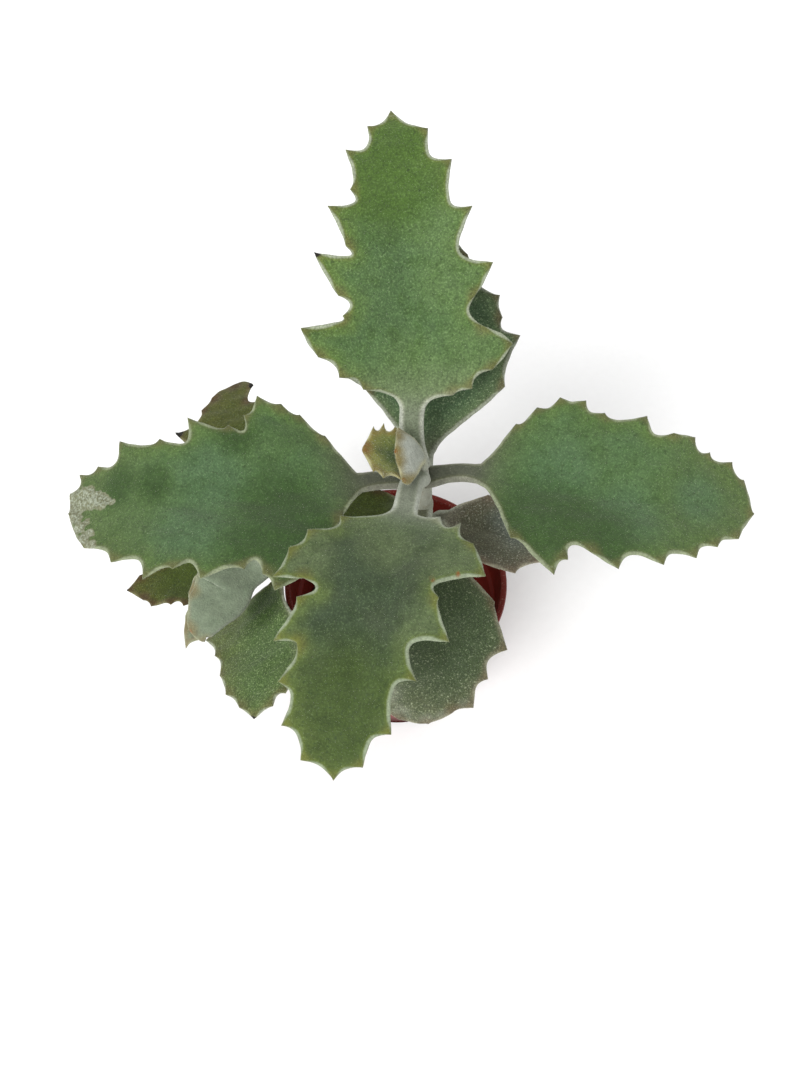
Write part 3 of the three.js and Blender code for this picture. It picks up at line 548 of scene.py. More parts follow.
def flat_outline(leaf):
    """The closed margin of stalk and blade, anticlockwise, and the tooth tips."""
    left, left_tips = margin(leaf, 1)
    right, right_tips = margin(leaf, -1)
    left, right = wobbled(left, leaf["seed"] + 1), wobbled(right, leaf["seed"] + 2)
    a = np.arange(-leaf["petiole"] - SUNK, leaf["start"][0] - JOIN_GAP, STALK_STEP)
    half = leaf["half"][0] * stalk_half_width(leaf, a)
    apex = np.array([[leaf["length"], 0.0]])
    ring = np.vstack([np.stack([a, -half], -1), right, apex, left[::-1], np.stack([a, half], -1)[::-1]])
    cap = [(a[0], o) for o in np.arange(half[0] - CAP_STEP, CAP_STEP / 2 - half[0], -CAP_STEP)]
    return np.vstack([ring, cap]), np.vstack([left_tips, right_tips])


def distance_to_ring(points, ring, part=400):
    """Distance from each point to the closed ring."""
    start, end = ring, np.roll(ring, -1, axis=0)
    span = end - start
    square = np.maximum((span ** 2).sum(1), 1e-12)
    found = []
    for i in range(0, len(points), part):
        off = points[i:i + part, None] - start[None]
        t = np.clip((off * span).sum(2) / square, 0, 1)
        found.append(np.sqrt(((off - t[..., None] * span) ** 2).sum(2)).min(1))
    return np.concatenate(found)


def is_inside(points, ring):
    x, y = points[:, :1], points[:, 1:]
    x0, y0 = ring[:, 0], ring[:, 1]
    x1, y1 = np.roll(x0, -1), np.roll(y0, -1)
    crosses = ((y0 > y) != (y1 > y)) & (x < (x1 - x0) * (y - y0) / np.where(y1 == y0, 1e-12, y1 - y0) + x0)
    return crosses.sum(1) % 2 == 1


def fill_points(ring):
    """Points inside the ring: rows that follow the margin, then an even field."""
    tangent = np.roll(ring, -1, axis=0) - np.roll(ring, 1, axis=0)
    tangent /= np.maximum(np.linalg.norm(tangent, axis=1, keepdims=True), 1e-9)
    inward = np.stack([-tangent[:, 1], tangent[:, 0]], -1)
    rows = []
    for inset in INSETS:
        row = (ring + inward * inset)[::1 if inset < THINNED_FROM else 2]
        row = row[is_inside(row, ring)]
        rows.append(row[distance_to_ring(row, ring) > KEPT_CLEAR * inset])
    low, high = ring.min(0), ring.max(0)
    a = np.arange(low[0], high[0], FILL_STEP)
    o = np.arange(low[1], high[1], FILL_STEP * ROW_SHARE)
    field = np.stack(np.meshgrid(a, o), -1)
    field[1::2, :, 0] += FILL_STEP / 2
    field = field.reshape(-1, 2)
    field = field[is_inside(field, ring)]
    field = field[distance_to_ring(field, ring) > INSETS[-1] + FILL_CLEAR * FILL_STEP]
    return np.vstack(rows + [field])


def flat_leaf(leaf):
    """Corners and triangles of the flat leaf. The first corners are the ring."""
    ring, tips = flat_outline(leaf)
    inner = fill_points(ring)
    corners = [Vector(p) for p in np.vstack([ring, inner]).tolist()]
    edges = [(i, (i + 1) % len(ring)) for i in range(len(ring))]
    made = geometry.delaunay_2d_cdt(corners, edges, [], 1, 1e-6)
    flat = np.array([tuple(v) for v in made[0]])
    faces = np.array([f for f in made[2] if len(f) == 3])
    if len(flat) != len(corners):
        raise ValueError("a leaf outline crosses itself")
    p, q, r = (flat[faces[:, k]] for k in range(3))
    area = (q[:, 0] - p[:, 0]) * (r[:, 1] - p[:, 1]) - (q[:, 1] - p[:, 1]) * (r[:, 0] - p[:, 0])
    faces[area < 0] = faces[area < 0][:, ::-1]
    return flat, faces, ring, tips


print("margins are drawn every", EDGE_STEP, "mm, stalks start", SUNK, "mm inside the stem")

# %% [markdown]
# ## The leaf as a solid
# The flat leaf becomes a thick one by moving each point up and down from the middle surface. The
# thickness is a rounded edge over the first millimetre, so that the margin catches the light, and
# along the stalk it swells to an oval, which sinks under the blade and fades out as the midrib's
# keel. The measures that the felt needs later, such as the distance to the margin, are stored on
# the points.

# %% Thick leaf
EDGE_SHARPNESS, EDGE_ROUNDING = 0.12, 1.5  # the edge is rounded over this many half thicknesses
EDGE_ADDED = 0.02  # keeps the edge from ending in nothing
SINKING = (-10, 0)  # stations over which the stalk sinks under the blade
PROUD = 0.15  # what it stands lower than the blade's face by then
BLEND = 0.5  # softness in mm where stalk and blade meet
GROOVE, GROOVE_WIDE = 0.35, 1.3  # the midrib's groove: depth and half width
GROOVE_BEGINS, GROOVE_ENDS = (-3, 6), (0.3, 0.9)  # stations, and shares of the blade's length


def smooth_more(x, y, blend):
    return 0.5 * (x + y + np.sqrt((x - y) ** 2 + blend ** 2) - blend)


def leaf_thickness(leaf, flat, margin_distance):
    """Height of the upper face over the middle surface, and depth of the lower face."""
    a, o = flat[:, 0], flat[:, 1]
    half = leaf["thick"] / 2
    curve = 1 - np.clip((margin_distance + EDGE_ADDED) / (EDGE_ROUNDING * half), 0, 1)
    blade = half * np.sqrt(1 - curve ** 2 + EDGE_SHARPNESS ** 2 * curve)
    size = stalk_half_width(leaf, a)
    wide, high = leaf["half"][0] * size, leaf["half"][1] * size
    oval = np.sqrt(np.clip(1 - (o / wide) ** 2, 0, 1))
    sink = (half - PROUD - high) * smoothstep(a, *SINKING)
    blend = BLEND * np.clip(margin_distance, 0, 1)
    upper = smooth_more(blade, (high + sink) * oval, blend)
    lower = smooth_more(blade, (high - sink) * oval, blend)
    groove = GROOVE * np.exp(-(o / GROOVE_WIDE) ** 2) * smoothstep(a, *GROOVE_BEGINS)
    groove *= 1 - smoothstep(a / leaf["length"], *GROOVE_ENDS)
    return upper - groove, lower


LEAF_MARKS = ("bare", "bloom", "scar", "rust", "dry")
TOOTH_LIFT, TOOTH_REACH = (-0.5, 1.1), 6  # how far tips bend down or up, and from how far away
TOOTH_BEND = 1.5  # above 1, a tooth bends more towards its tip
TOOTH_MARK = 5  # distance in mm over which a tooth's colour fades
STALK_FADES = (-3, 7)  # stations from the margin's start over which the stalk's colour fades


def nearest(points, spots, reach=None):
    """1 at the nearest spot, falling to 0 at the reach, which a spot brings itself if none is given."""
    if not len(spots):
        return np.zeros(len(points))
    spots = np.asarray(spots, float)
    far = np.linalg.norm(points[:, None] - spots[None, :, :2], axis=2)
    return np.clip(1 - far / (reach or spots[:, 2]), 0, 1).max(1)


def leaf_mesh(name, leaf):
    flat, faces, ring, tips = flat_leaf(leaf)
    a, o = flat[:, 0], flat[:, 1]
    margin_distance = distance_to_ring(flat, ring)
    middle, up = on_leaf(leaf, a, o), leaf_up(leaf, a, o)
    upper, lower = leaf_thickness(leaf, flat, margin_distance)
    rng = np.random.default_rng(leaf["seed"] + 5)
    lifts = rng.uniform(*TOOTH_LIFT, len(tips))
    far = np.linalg.norm(flat[:, None] - tips[None], axis=2)
    lift = (np.clip(1 - far / TOOTH_REACH, 0, 1) ** TOOTH_BEND * lifts).sum(1)
    middle = middle + up * lift[:, None]
    points = np.vstack([middle + up * upper[:, None], middle - up * lower[:, None]])
    n, count = len(flat), len(ring)
    under = faces[:, ::-1] + n
    here = np.arange(count)
    there = (here + 1) % count
    side_one = np.stack([there, here, here + n], -1)
    side_two = np.stack([there, here + n, there + n], -1)
    all_faces = np.vstack([faces, under, side_one, side_two]).tolist()
    start = leaf["start"][0]
    attributes = {
        "margin_mm": margin_distance, "along": a / leaf["length"], "tooth": nearest(flat, tips, TOOTH_MARK),
        "stalk": 1 - smoothstep(a, start + STALK_FADES[0], start + STALK_FADES[1]),
        **{mark: nearest(flat, leaf.get(mark, ())) for mark in LEAF_MARKS},
    }
    attributes = {title: np.tile(values, 2) for title, values in attributes.items()}
    attributes["under"] = np.repeat((0.0, 1.0), n)
    return mesh_object(name, points, all_faces, attributes)


print("a margin's edge is rounded over", EDGE_ROUNDING, "half thicknesses")

# %% [markdown]
# ## The thirteen leaves
# Each leaf is written once: the points of its midrib, how far it folds, curls and rolls, and for
# each margin the bays and tips in order, as pairs of station and offset. Bays and tips were read
# from the photograph and worked back through the camera onto the leaf. Most leaves are as
# the model has them. The folded leaf's left margin and the two young leaves are drawn closer to
# the photograph here. Marks that age leaves on felt are given the same way, each with a reach of
# its own: corky scars, rust and dried tips. The real plant has leaves in pairs, so two may share
# a look but never a shape.

# %% The leaf table, in millimetres and degrees
# petiole is the stalk's length, half its half width and half height, thick the blade's thickness.
# level is the direction that the leaf's top faces, where that isn't up. valley is the depth and
# the half width of the hollow along the midrib.
# fold is given for left and right near the stalk, then at the apex, and curl for left and right
# per 10 mm. roll runs from the stalk to the apex. wave is a height, a length and a phase. start is
# where the margins begin. A margin's rows are a bay's station and offset, then its tip's.
LEAVES = {
    "leaf_top": dict(
        petiole=24, half=(4.0, 2.7), thick=1.5,
        spine=((6.9, 4.6, 137), (5.6, 11.5, 146), (6, 21, 154), (5, 31.5, 167), (3.5, 46.5, 182),
            (2, 65, 194), (0.5, 80, 201), (-1, 94, 205)),
        fold=(6, 6, 4, 4), curl=(-1, -1), roll=(0, 0), wave=(0.8, 24, 0.4), valley=(1.8, 9),
        start=(-5, 4.2),
        left=((-0.8, 6.6, 1.5, 16), (5.8, 18.2, 7, 23.5), (11.3, 24.2, 13.5, 29.5),
            (18, 32.6, 23, 34), (23.7, 20.5, 25.5, 21), (28.9, 17.1, 31.5, 21.5), (38, 25.3, 44.7, 28),
            (42.3, 15.3, 46, 18), (51.5, 19.6, 59, 22.8), (59, 13, 64, 15.5), (67.6, 13.6, 77.2, 15.8),
            (76.8, 8.3, 85.7, 8.1), (85.6, 4.2, 91.5, 0)),
        right=((-2, 6.2, -1.2, 13), (0.2, 15.4, 0.5, 19.2), (4.3, 20.3, 5.5, 26),
            (8.5, 29.8, 12.8, 32.9), (16.8, 29.2, 19.2, 23.5), (23.8, 18.2, 28.6, 21.6),
            (32.5, 24.5, 38.5, 27.6), (41.2, 15, 56, 22.2), (56.8, 14.2, 71.8, 17.3),
            (72.3, 9.8, 83, 11), (84.5, 5.8, 91.5, 0)),
    ),
    "leaf_front": dict(
        petiole=26.8, half=(3.8, 2.8), thick=1.5,
        spine=((7.1, -2.2, 138.4), (5.4, -9.5, 144.8), (3, -25, 151), (-2, -46, 153),
            (-6, -60.5, 149.5), (-10.5, -73, 143), (-14, -84.5, 133), (-17, -96.5, 121)),
        fold=(6, 6, 4, 4), curl=(-1, -1), roll=(0, 0), wave=(0.8, 22, 1.6), valley=(1.8, 8),
        start=(-1, 4.2),
        left=((0, 7.2, -1.2, 11), (4.3, 13.9, 1, 17.6), (6.3, 18.2, 7, 22.7), (11, 25.2, 17, 28.3),
            (22.6, 13.2, 26.8, 17), (28.9, 17, 36.9, 23.1), (39.3, 10.4, 48.5, 17.6),
            (51.5, 10.5, 66.5, 14.2), (69, 8.5, 79, 7.8), (80.3, 2.8, 85, 0)),
        right=((3.4, 7.5, 6, 18.2), (11.5, 17.3, 15, 25.5), (18.5, 25, 22, 29), (25, 29, 32, 30.7),
            (30.5, 25, 29.7, 22.3), (31.8, 16.8, 36, 22.7), (39, 21.8, 50.5, 25.2),
            (49, 19.5, 49.5, 18.3), (52.5, 17.4, 60, 20.8), (62.3, 15.3, 72, 17.6),
            (72.5, 12, 81, 10.4), (80.8, 5, 85, 0)),
    ),
    "leaf_left": dict(
        petiole=25.5, half=(3.3, 2.5), thick=1.5,
        spine=((6.5, 3, 130), (-3, -1, 136), (-15, -5.5, 140), (-29.5, -10.5, 144.5),
            (-44.5, -14.5, 147), (-60, -16, 147), (-75.5, -17.5, 145), (-89, -17.5, 141.5),
            (-103.5, -15, 136)),
        fold=(6, 10, 2, 4), curl=(0, 0), roll=(-10, -8), wave=(0.9, 30, 2.0), valley=(3.0, 9),
        start=(-4.4, 3.5),
        left=((0.6, 6.9, 6, 13), (7.5, 15, 13, 21.5), (16, 24.5, 22, 31), (24.5, 32.5, 29, 34),
            (29.5, 30, 31, 28), (31.8, 21.6, 34.5, 25.7), (37.2, 24.1, 47.3, 27.8),
            (49.9, 20.7, 55.6, 23.8), (57.5, 22, 63.7, 25), (64.8, 17.3, 73.2, 17.8),
            (75.2, 13.2, 82, 12.3), (88.5, 6.3, 92.3, 0)),
        right=((-2.2, 7, 4, 16.7), (6.2, 18, 10.6, 25.3), (13.5, 25, 17, 28.3),
            (19.8, 28.9, 24, 32.4), (26.9, 27, 30.6, 26.6), (30, 20.4, 37.8, 24), (40.3, 22, 49, 27),
            (49.4, 17.4, 58.8, 22.2), (61.5, 20, 75.8, 24.3), (75.4, 15, 85.6, 16.8),
            (87.5, 13.9, 92.3, 14.3), (90.2, 9.5, 94, 7.5), (93.4, 3.5, 92.3, 0)),
    ),
    "leaf_right": dict(
        petiole=19.8, half=(3.3, 2.5), thick=1.5,
        spine=((11.2, 2.6, 132.6), (20, 2.7, 134.8), (29.5, -0.5, 138.5), (52.5, -9, 143),
            (77.5, -13, 142.5), (97, -14, 139), (115.5, -13.5, 134)),
        fold=(10, 3, 5, 2), curl=(0, 0), roll=(8, 8), wave=(0.9, 28, 0.8), valley=(3.0, 9),
        start=(-2.5, 3.6),
        left=((0.9, 8.2, 5.2, 18.9), (7.5, 19.5, 10.3, 26), (14.5, 26.5, 17.5, 30.6),
            (22.5, 30, 29, 30.3), (30.5, 25.8, 36, 27), (39, 25, 51, 29), (53, 21.8, 60.5, 23.8),
            (64, 23.9, 69.3, 24.5), (70, 18.6, 75, 20), (76, 17, 83, 17.5), (83.6, 12.3, 87, 12),
            (88.2, 7, 89.3, 0)),
        right=((4.6, 6.6, 15.5, 21.6), (18.1, 21.2, 27.7, 31.5), (28.2, 26.2, 30.3, 25.2),
            (30.2, 18.8, 36, 21), (38, 22, 44.3, 25.5), (46.8, 19, 57, 22.2), (59, 17, 67.2, 18),
            (69, 13.4, 74, 13.8), (76, 10.4, 82, 9.7), (84.3, 6, 89.3, 0)),
    ),
    "leaf_back": dict(
        petiole=16.3, half=(3.2, 2.4), thick=1.5,
        spine=((9, 6.5, 117), (9.7, 10.5, 123), (10.1, 16, 130), (11.5, 33.5, 138), (11.5, 55, 147),
            (11, 76, 155), (11, 102, 161)),
        fold=(10, 10, 5, 5), curl=(-1, -1), roll=(0, 0), wave=(0.8, 26, 0),
        start=(-1.5, 3.3),
        left=((7, 11, 19.5, 21.6), (21.8, 23.6, 24.3, 28.6), (27.5, 27, 38, 29), (41, 25, 46.5, 27),
            (50.5, 23.5, 55, 23), (56.5, 18.5, 70, 16.5), (72.5, 11.5, 84, 8), (85, 4.5, 92, 0)),
        right=((4.3, 6.1, 21.5, 26.2), (27, 25.8, 39.5, 31.8), (41.6, 24.9, 46, 25.9),
            (49.5, 24.4, 54, 25.3), (56, 18.5, 70.5, 14.6), (74.5, 11.5, 83.5, 8.5), (85, 4.5, 92, 0)),
    ),
    "leaf_front_low": dict(
        petiole=12.7, half=(2.9, 2.2), thick=1.4,
        spine=((9.5, 0, 116), (9.6, -4, 117), (11.6, -12, 117), (14, -28.5, 112), (15, -42, 102),
            (14, -53, 90), (11.5, -61, 75)),
        fold=(4, 4, 0, 0), curl=(-4, -4), roll=(0, 0), wave=(0.5, 24, 0),
        start=(0, 3),
        left=((4.5, 5, 23, 19), (25, 18.5, 37, 22.5), (40, 15.5, 46, 17), (48.3, 12.9, 55.5, 13.8),
            (56.8, 9, 58.3, 7.6), (62, 5.2, 67.3, 0)),
        right=((5, 6.5, 19, 20.5), (24, 20.5, 38.5, 26.5), (44.5, 21, 56, 22.5),
            (60, 20.5, 66.5, 17.5), (68, 14.5, 69.3, 10.5), (69, 5.5, 67.3, 0)),
    ),
    "leaf_right_low": dict(
        petiole=7, half=(2.8, 2.1), thick=1.4,
        spine=((13.5, 2, 104), (16.5, 4, 107), (20, 2.5, 108), (33, -3.5, 110), (47, -6, 109),
            (66, -3, 104)),
        fold=(6, 6, 2, 2), curl=(0, 0), roll=(0, 0), wave=(0.5, 20, 1),
        start=(-1, 3),
        left=((0.5, 5.5, 10, 13.5), (15, 14, 19.5, 19.5), (28.5, 15.5, 37.5, 17.5),
            (40.5, 12.5, 45, 11.5), (47.5, 6, 50.5, 0)),
        right=((3, 4.5, 16, 15), (21, 15, 26, 15.5), (27.5, 12, 32.5, 10.5), (35, 7, 41, 6.5),
            (44, 3.5, 50.5, 0)),
    ),
    "leaf_left_low": dict(
        petiole=7.5, half=(2.8, 2.1), thick=1.4,
        spine=((7.5, 4.5, 103), (3.5, 7.5, 107), (-3.5, 9, 109), (-23, 13.5, 112), (-45, 22.5, 112),
            (-64.5, 32, 109), (-82.5, 42.5, 104)),
        fold=(6, 6, 2, 2), curl=(0, 0), roll=(4, 4), wave=(0.6, 26, 2),
        start=(0, 2.9),
        left=((2, 6, 10.5, 16.5), (15, 17, 20.5, 22.5), (24.5, 20.5, 30, 23.5),
            (35, 20, 43.5, 21.5), (49.5, 17, 61.5, 14.5), (68.5, 10, 79, 5.5), (85, 2.5, 94, 0)),
        right=((3, 3.5, 10, 5), (15, 6, 30, 13), (37, 15.5, 51.5, 22.5), (56.5, 23.5, 69.5, 26),
            (74.5, 25.6, 78, 26), (82, 29.5, 82.3, 34.2), (88, 36.2, 90.3, 31.5),
            (92.8, 27.5, 93.5, 22), (93, 18.5, 93.6, 15), (90, 9.5, 94, 0)),
    ),
    "leaf_left_mid": dict(
        petiole=40.5, half=(2.6, 2.0), thick=1.3,
        spine=((6, 3, 78), (-9.5, 5, 83), (-31.5, 2, 86), (-51.5, -1, 86.5), (-73.5, -6.5, 84),
            (-99.5, -10, 79)),
        fold=(6, 6, 2, 2), curl=(0, 0), roll=(0, 0), wave=(0.4, 22, 0),
        start=(1, 2.7),
        left=((6.5, 5.5, 17, 8.5), (22, 8.5, 32.5, 13.5), (34.5, 12, 36.8, 14.3),
            (41, 11.5, 46, 12.5), (47.5, 9.3, 50.5, 10.8), (52.5, 9, 58.5, 9), (59.5, 6.5, 61.5, 5.5),
            (65, 2.5, 68, 0)),
        right=((5.5, 7.5, 14, 11.5), (18.5, 10, 26.5, 12.5), (31, 10.5, 40.5, 11.5),
            (45, 9.5, 54, 8.5), (57, 6, 62.5, 4.5), (65, 2.5, 68, 0)),
    ),
    "leaf_folded": dict(
        petiole=53, half=(2.5, 1.9), thick=1.2,
        spine=((6, 2, 90), (-7.5, 3.5, 96), (-27, -2, 99), (-39.5, -7.5, 99), (-49, -16, 97),
            (-52.8, -24.5, 94.5), (-61.5, -33, 92), (-67.5, -36.5, 90), (-72, -39, 88)),
        fold=(140, 10, 150, 10), curl=(0, 0), roll=(0, 0), wave=(0, 20, 0),
        start=(1, 2.6),
        left=((3, 11, 9, 19), (20, 22, 29, 17.5), (36.5, 13.5, 39, 7), (39, 3, 36.8, 0)),
        right=((5, 9.5, 10, 16), (22, 21, 29, 18), (36.5, 13.8, 40.7, 7.6), (42.6, 4.3, 44.3, 1.1),
            (41.2, 1.7, 36.8, 0)),
    ),
    "leaf_front_left": dict(
        petiole=52.5, half=(2.6, 2.0), thick=1.3,
        spine=((6.5, 0.5, 72), (-7.5, -9, 79), (-26.5, -23.5, 82.5), (-35.5, -27, 80),
            (-45.5, -29.5, 76), (-57, -30.5, 70), (-66.5, -30, 64)),
        fold=(0, 0, 0, 0), curl=(-3, -3), roll=(8, 6), wave=(0.5, 20, 0),
        start=(-2, 2.9),
        left=((0.5, 12, 7.5, 23), (10, 22, 11.5, 26), (13.5, 26, 17.5, 28.5),
            (19.5, 25.5, 22, 23.5), (24, 19.5, 27, 17), (28.5, 12, 31.5, 8.5), (32, 3, 35.5, 0)),
        right=((2.8, 15.5, 1, 20.5), (4.5, 26.8, 10.8, 28), (22.6, 25.4, 44, 9.5),
            (37.6, 4.3, 35.5, 0)),
    ),
    "leaf_young_left": dict(
        petiole=7.3, half=(1.6, 1.0), thick=1.2, level=(1, 0, 1),
        spine=((6.2, 1.7, 142), (5.4, 1.4, 147.4), (2.5, -1, 151.5), (-3.5, -2.2, 154.5),
            (-9.5, -3.2, 156.5)),
        fold=(6, 14, 6, 10), curl=(5, 8), roll=(0, 0), wave=(0, 20, 0), valley=(0, 5),
        start=(-1, 1.9),
        left=((1, 6, 7, 12.9), (9.7, 10.2, 13, 13.3), (13.6, 9, 15.2, 9.9), (15.9, 6.5, 17.5, 1.8),
            (17.5, 0.8, 17, 0)),
        right=((1, 4.5, 6.5, 7.4), (8.7, 5.2, 10.2, 8.2), (12.1, 4.9, 13.7, 6.6), (15.3, 2.9, 17, 0)),
    ),
    # the camera sees this one's back, so its cup opens the other way
    "leaf_young_right": dict(
        petiole=2.5, half=(1.7, 1.0), thick=1.2, level=(-1, 0, -1),
        spine=((9.3, 1, 141.4), (9.4, 0.2, 147), (8.6, -1.8, 152.3), (5.2, -4.4, 156.5),
            (0, -6.5, 158.8)),
        fold=(10, 10, 8, 8), curl=(6, 6), roll=(0, 0), wave=(0, 20, 0), valley=(0, 5),
        start=(-0.5, 2.0),
        left=((9.5, 1.8, 14.2, 8.7), (16.4, 8.6, 17.9, 5.9), (19.3, 3, 20.4, 0)),
        right=((8, 2.6, 17.2, 10.6), (18.8, 11.2, 20.3, 10.2), (20.3, 6, 20.5, 3), (20.4, 1.5, 20.4, 0)),
    ),
}

# [station, offset, reach] of each mark: bare where felt is thin, and also painted shade on the side
# leaves by the stem and under a leaf above; bloom where a pale bloom covers it, and also painted
# light on the top leaf's right half
MARKS = {
    "leaf_top": dict(
        dry=((44.4, 27.4, 1.6),), bare=((66, 4, 24), (76, 0, 20)),
        # the bloom marks at offsets -20 and -14 are painted light on the right half
        bloom=((6, 0, 18), (14, -20, 16), (34, -14, 16), (50, -10, 12))),
    "leaf_front": dict(
        rust=((21.7, 14, 1.5), (18.7, 20.5, 1.5)), bare=((58, 0, 22), (70, 2, 18)),
        bloom=((14, 18, 14), (22, -24, 13), (11, -3, 14), (36, 16, 12))),
    "leaf_left": dict(
        # the first two bare marks are painted shade on the near half, by the stem
        bare=((22, 9, 24), (30, 18, 16), (62, -8, 9), (74, -9, 10), (34, -21, 11)),
        bloom=((44, -6, 16), (50, 10, 16)),
        scar=((87, -5.5, 5.5), (83, -4.6, 4.5), (79.5, -3.6, 3.2), (76.7, -3.4, 1.8), (90, -2.5, 4.2),
            (89, 1.5, 3.2), (86.5, 5.5, 3), (83.5, 9.5, 2.8), (92, -6, 4.5), (80, 12, 2.2),
            (82, 7, 2), (84.5, 3.5, 1.8))),
    "leaf_right": dict(
        # these bare marks are painted shade on the near half, by the stem
        bare=((20, -13, 24), (38, -16, 18), (30, -10, 16)),
        bloom=((24, 4, 18), (46, -6, 16), (70, 3, 12))),
    "leaf_front_low": dict(
        bare=((30, 4, 30),),
        bloom=((67, -10, 6), (67, 0, 6), (63, 6, 6), (57, 12, 6), (51, 17, 5), (43, 20, 4), (60, -16, 7))),
    "leaf_right_low": dict(bloom=((24, 4, 14),), bare=((14, -6, 12),)),
    "leaf_left_low": dict(
        bloom=((94, -22, 6), (91, -31, 6), (70, -27, 4)), bare=((50, 0, 30),),
        dry=((93.5, -0.3, 3.4), (82.5, -34, 2.2))),
    "leaf_left_mid": dict(bare=((40, 0, 26),), dry=((68.5, 0, 1.6),)),
    "leaf_folded": dict(rust=((28.5, 18.5, 1.4), (39.5, 6.5, 1.8))),
    # its bare mark is painted shadow, where the leaf above shades it
    "leaf_front_left": dict(bare=((13, -17, 14),), dry=((17.8, 28.6, 1.5),)),
    "leaf_young_left": dict(rust=((17, 1, 4),)),
    "leaf_young_right": dict(rust=((20.4, 0, 1.5), (19.6, -9.5, 1.2))),
}
for number, (title, leaf) in enumerate(LEAVES.items()):
    leaf.update(MARKS.get(title, {}))
    leaf["curve"] = curve_through(leaf["spine"])
    leaf["length"] = leaf["left"][-1][2]
    leaf["seed"] = 10 * number + 3
print("leaves:", len(LEAVES), "longest blade in mm:", max(leaf["length"] for leaf in LEAVES.values()))

# %% [markdown]
# ## Felt on living leaf
# What looks like grey-green skin is a thick green leaf seen through a felt of star-shaped hairs.
# The felt is thin in the middle of the blade, where the green shows with a blue bloom, and dense
# on the stalk, the underside and the margin, where it is a whitish line. Old felt turns brown on
# the teeth. So the colour is built in layers from the inside out, each let through by a mask of
# its own. The masks come from measures stored on the mesh, so they follow the leaf's own shape,
# which a picture or a projection could not.
# Two masks, for thin felt and for bloom, also lay painted shade and painted light on some leaves.

# %% Felted leaf material
# the size in mm and the detail of each noise
FELT_NOISES = {
    "cloud": (16, 3.0), "mottle": (5, 4.0), "fleck": (0.6, 2.0), "pit": (1.0, 2.0),
    "grain": (0.6, 2.0), "nap": (2.2, 3.0), "thread": (0.75, 4.0),
}
# a measure, its weight and the measure that it is added to
SUMS = {
    "ragged scar": ("nap", 0.9, "scar"),  # a noise decides how far each spot of the scar reaches
    "pale line": ("tooth", 1.1, "margin_mm"),  # it is wide in a bay and fades out on a tooth
    "uneven margin": ("mottle", 5.0, "margin_mm"),
    "relief": ("fleck", 1.6, "grain"),
}
# A colour of the look, from the inside out, and the parts of its mask, which are multiplied. A part
# is a measure, a share, or a smooth ramp: a measure, where the ramp begins and ends, and its values
# there, which are 0 and 1 if they aren't given.
LAYERS = (
    ("centre", ("uneven margin", 3.5, 10.0)),
    ("patch", ("cloud", 0.42, 0.66), "patches"),
    ("tip", ("along", 0.45, 1.0, 0.0, "tip_share")),
    # a pale bloom, and the same mask also lays painted light
    ("bloom", ("bloom", 0.0, 0.7), 0.8),
    # thin felt lets the green through, and the same mask also lays painted shade
    ("bare", ("bare", 0.0, 0.7), 0.85),
    ("shade", ("mottle", 0.48, 0.72), 0.35),
    ("base", ("along", 0.14, -0.02, 0.0, 0.8)),
    ("pit", ("pit", 0.58, 0.72), 0.6),
    ("felt", ("fleck", 0.58, 0.72), "flecks", ("bare", 0.9, 0.1, 0.45, 1.0)),
    ("stalk", "stalk"),
    ("under", "under", 0.94),
    ("under_shade", "under", ("mottle", 0.5, 0.7), 0.4),
    ("rim", ("margin_mm", 2.2, 0.6), "rim_share", ("under", 0.0, 1.0, 1.0, 0.5)),
    ("tooth", ("tooth", 0.1, 0.75), "tooth_share"),
    ("line", ("pale line", 1.3, 0.45, 0.0, "line_share"), ("under", 0.0, 1.0, 1.0, 0.6)),
    ("stalk_rim", "stalk", ("margin_mm", "stalk_band", 0.6)),
    ("scar", "worn", 0.8),
    ("scar_light", "worn", ("thread", 0.36, 0.66), ("scar", 0.1, 0.6, 0.15, 0.85)),
    ("rust", ("rust", 0.1, 0.8), ("mottle", 0.34, 0.52)),
    ("dry", ("dry", 0.1, 0.4)),
)


def mask(tree, known, *parts):
    """The product of a mask's parts. A name stands for what is known of it."""
    product = None
    for part in parts:
        if isinstance(part, tuple):
            value, begin, end, least, most = (known.get(v, v) for v in (*part, 0.0, 1.0)[:5])
            made = add_node(tree, "ShaderNodeMapRange", interpolation_type="SMOOTHSTEP", inputs={
                "Value": value, "From Min": begin, "From Max": end, "To Min": least, "To Max": most})
            factor = made.outputs[0]
        else:
            factor = known.get(part, part)
        if product is not None:
            made = add_node(tree, "ShaderNodeMath", operation="MULTIPLY", inputs={0: product, 1: factor})
            factor = made.outputs[0]
        product = factor
    return product


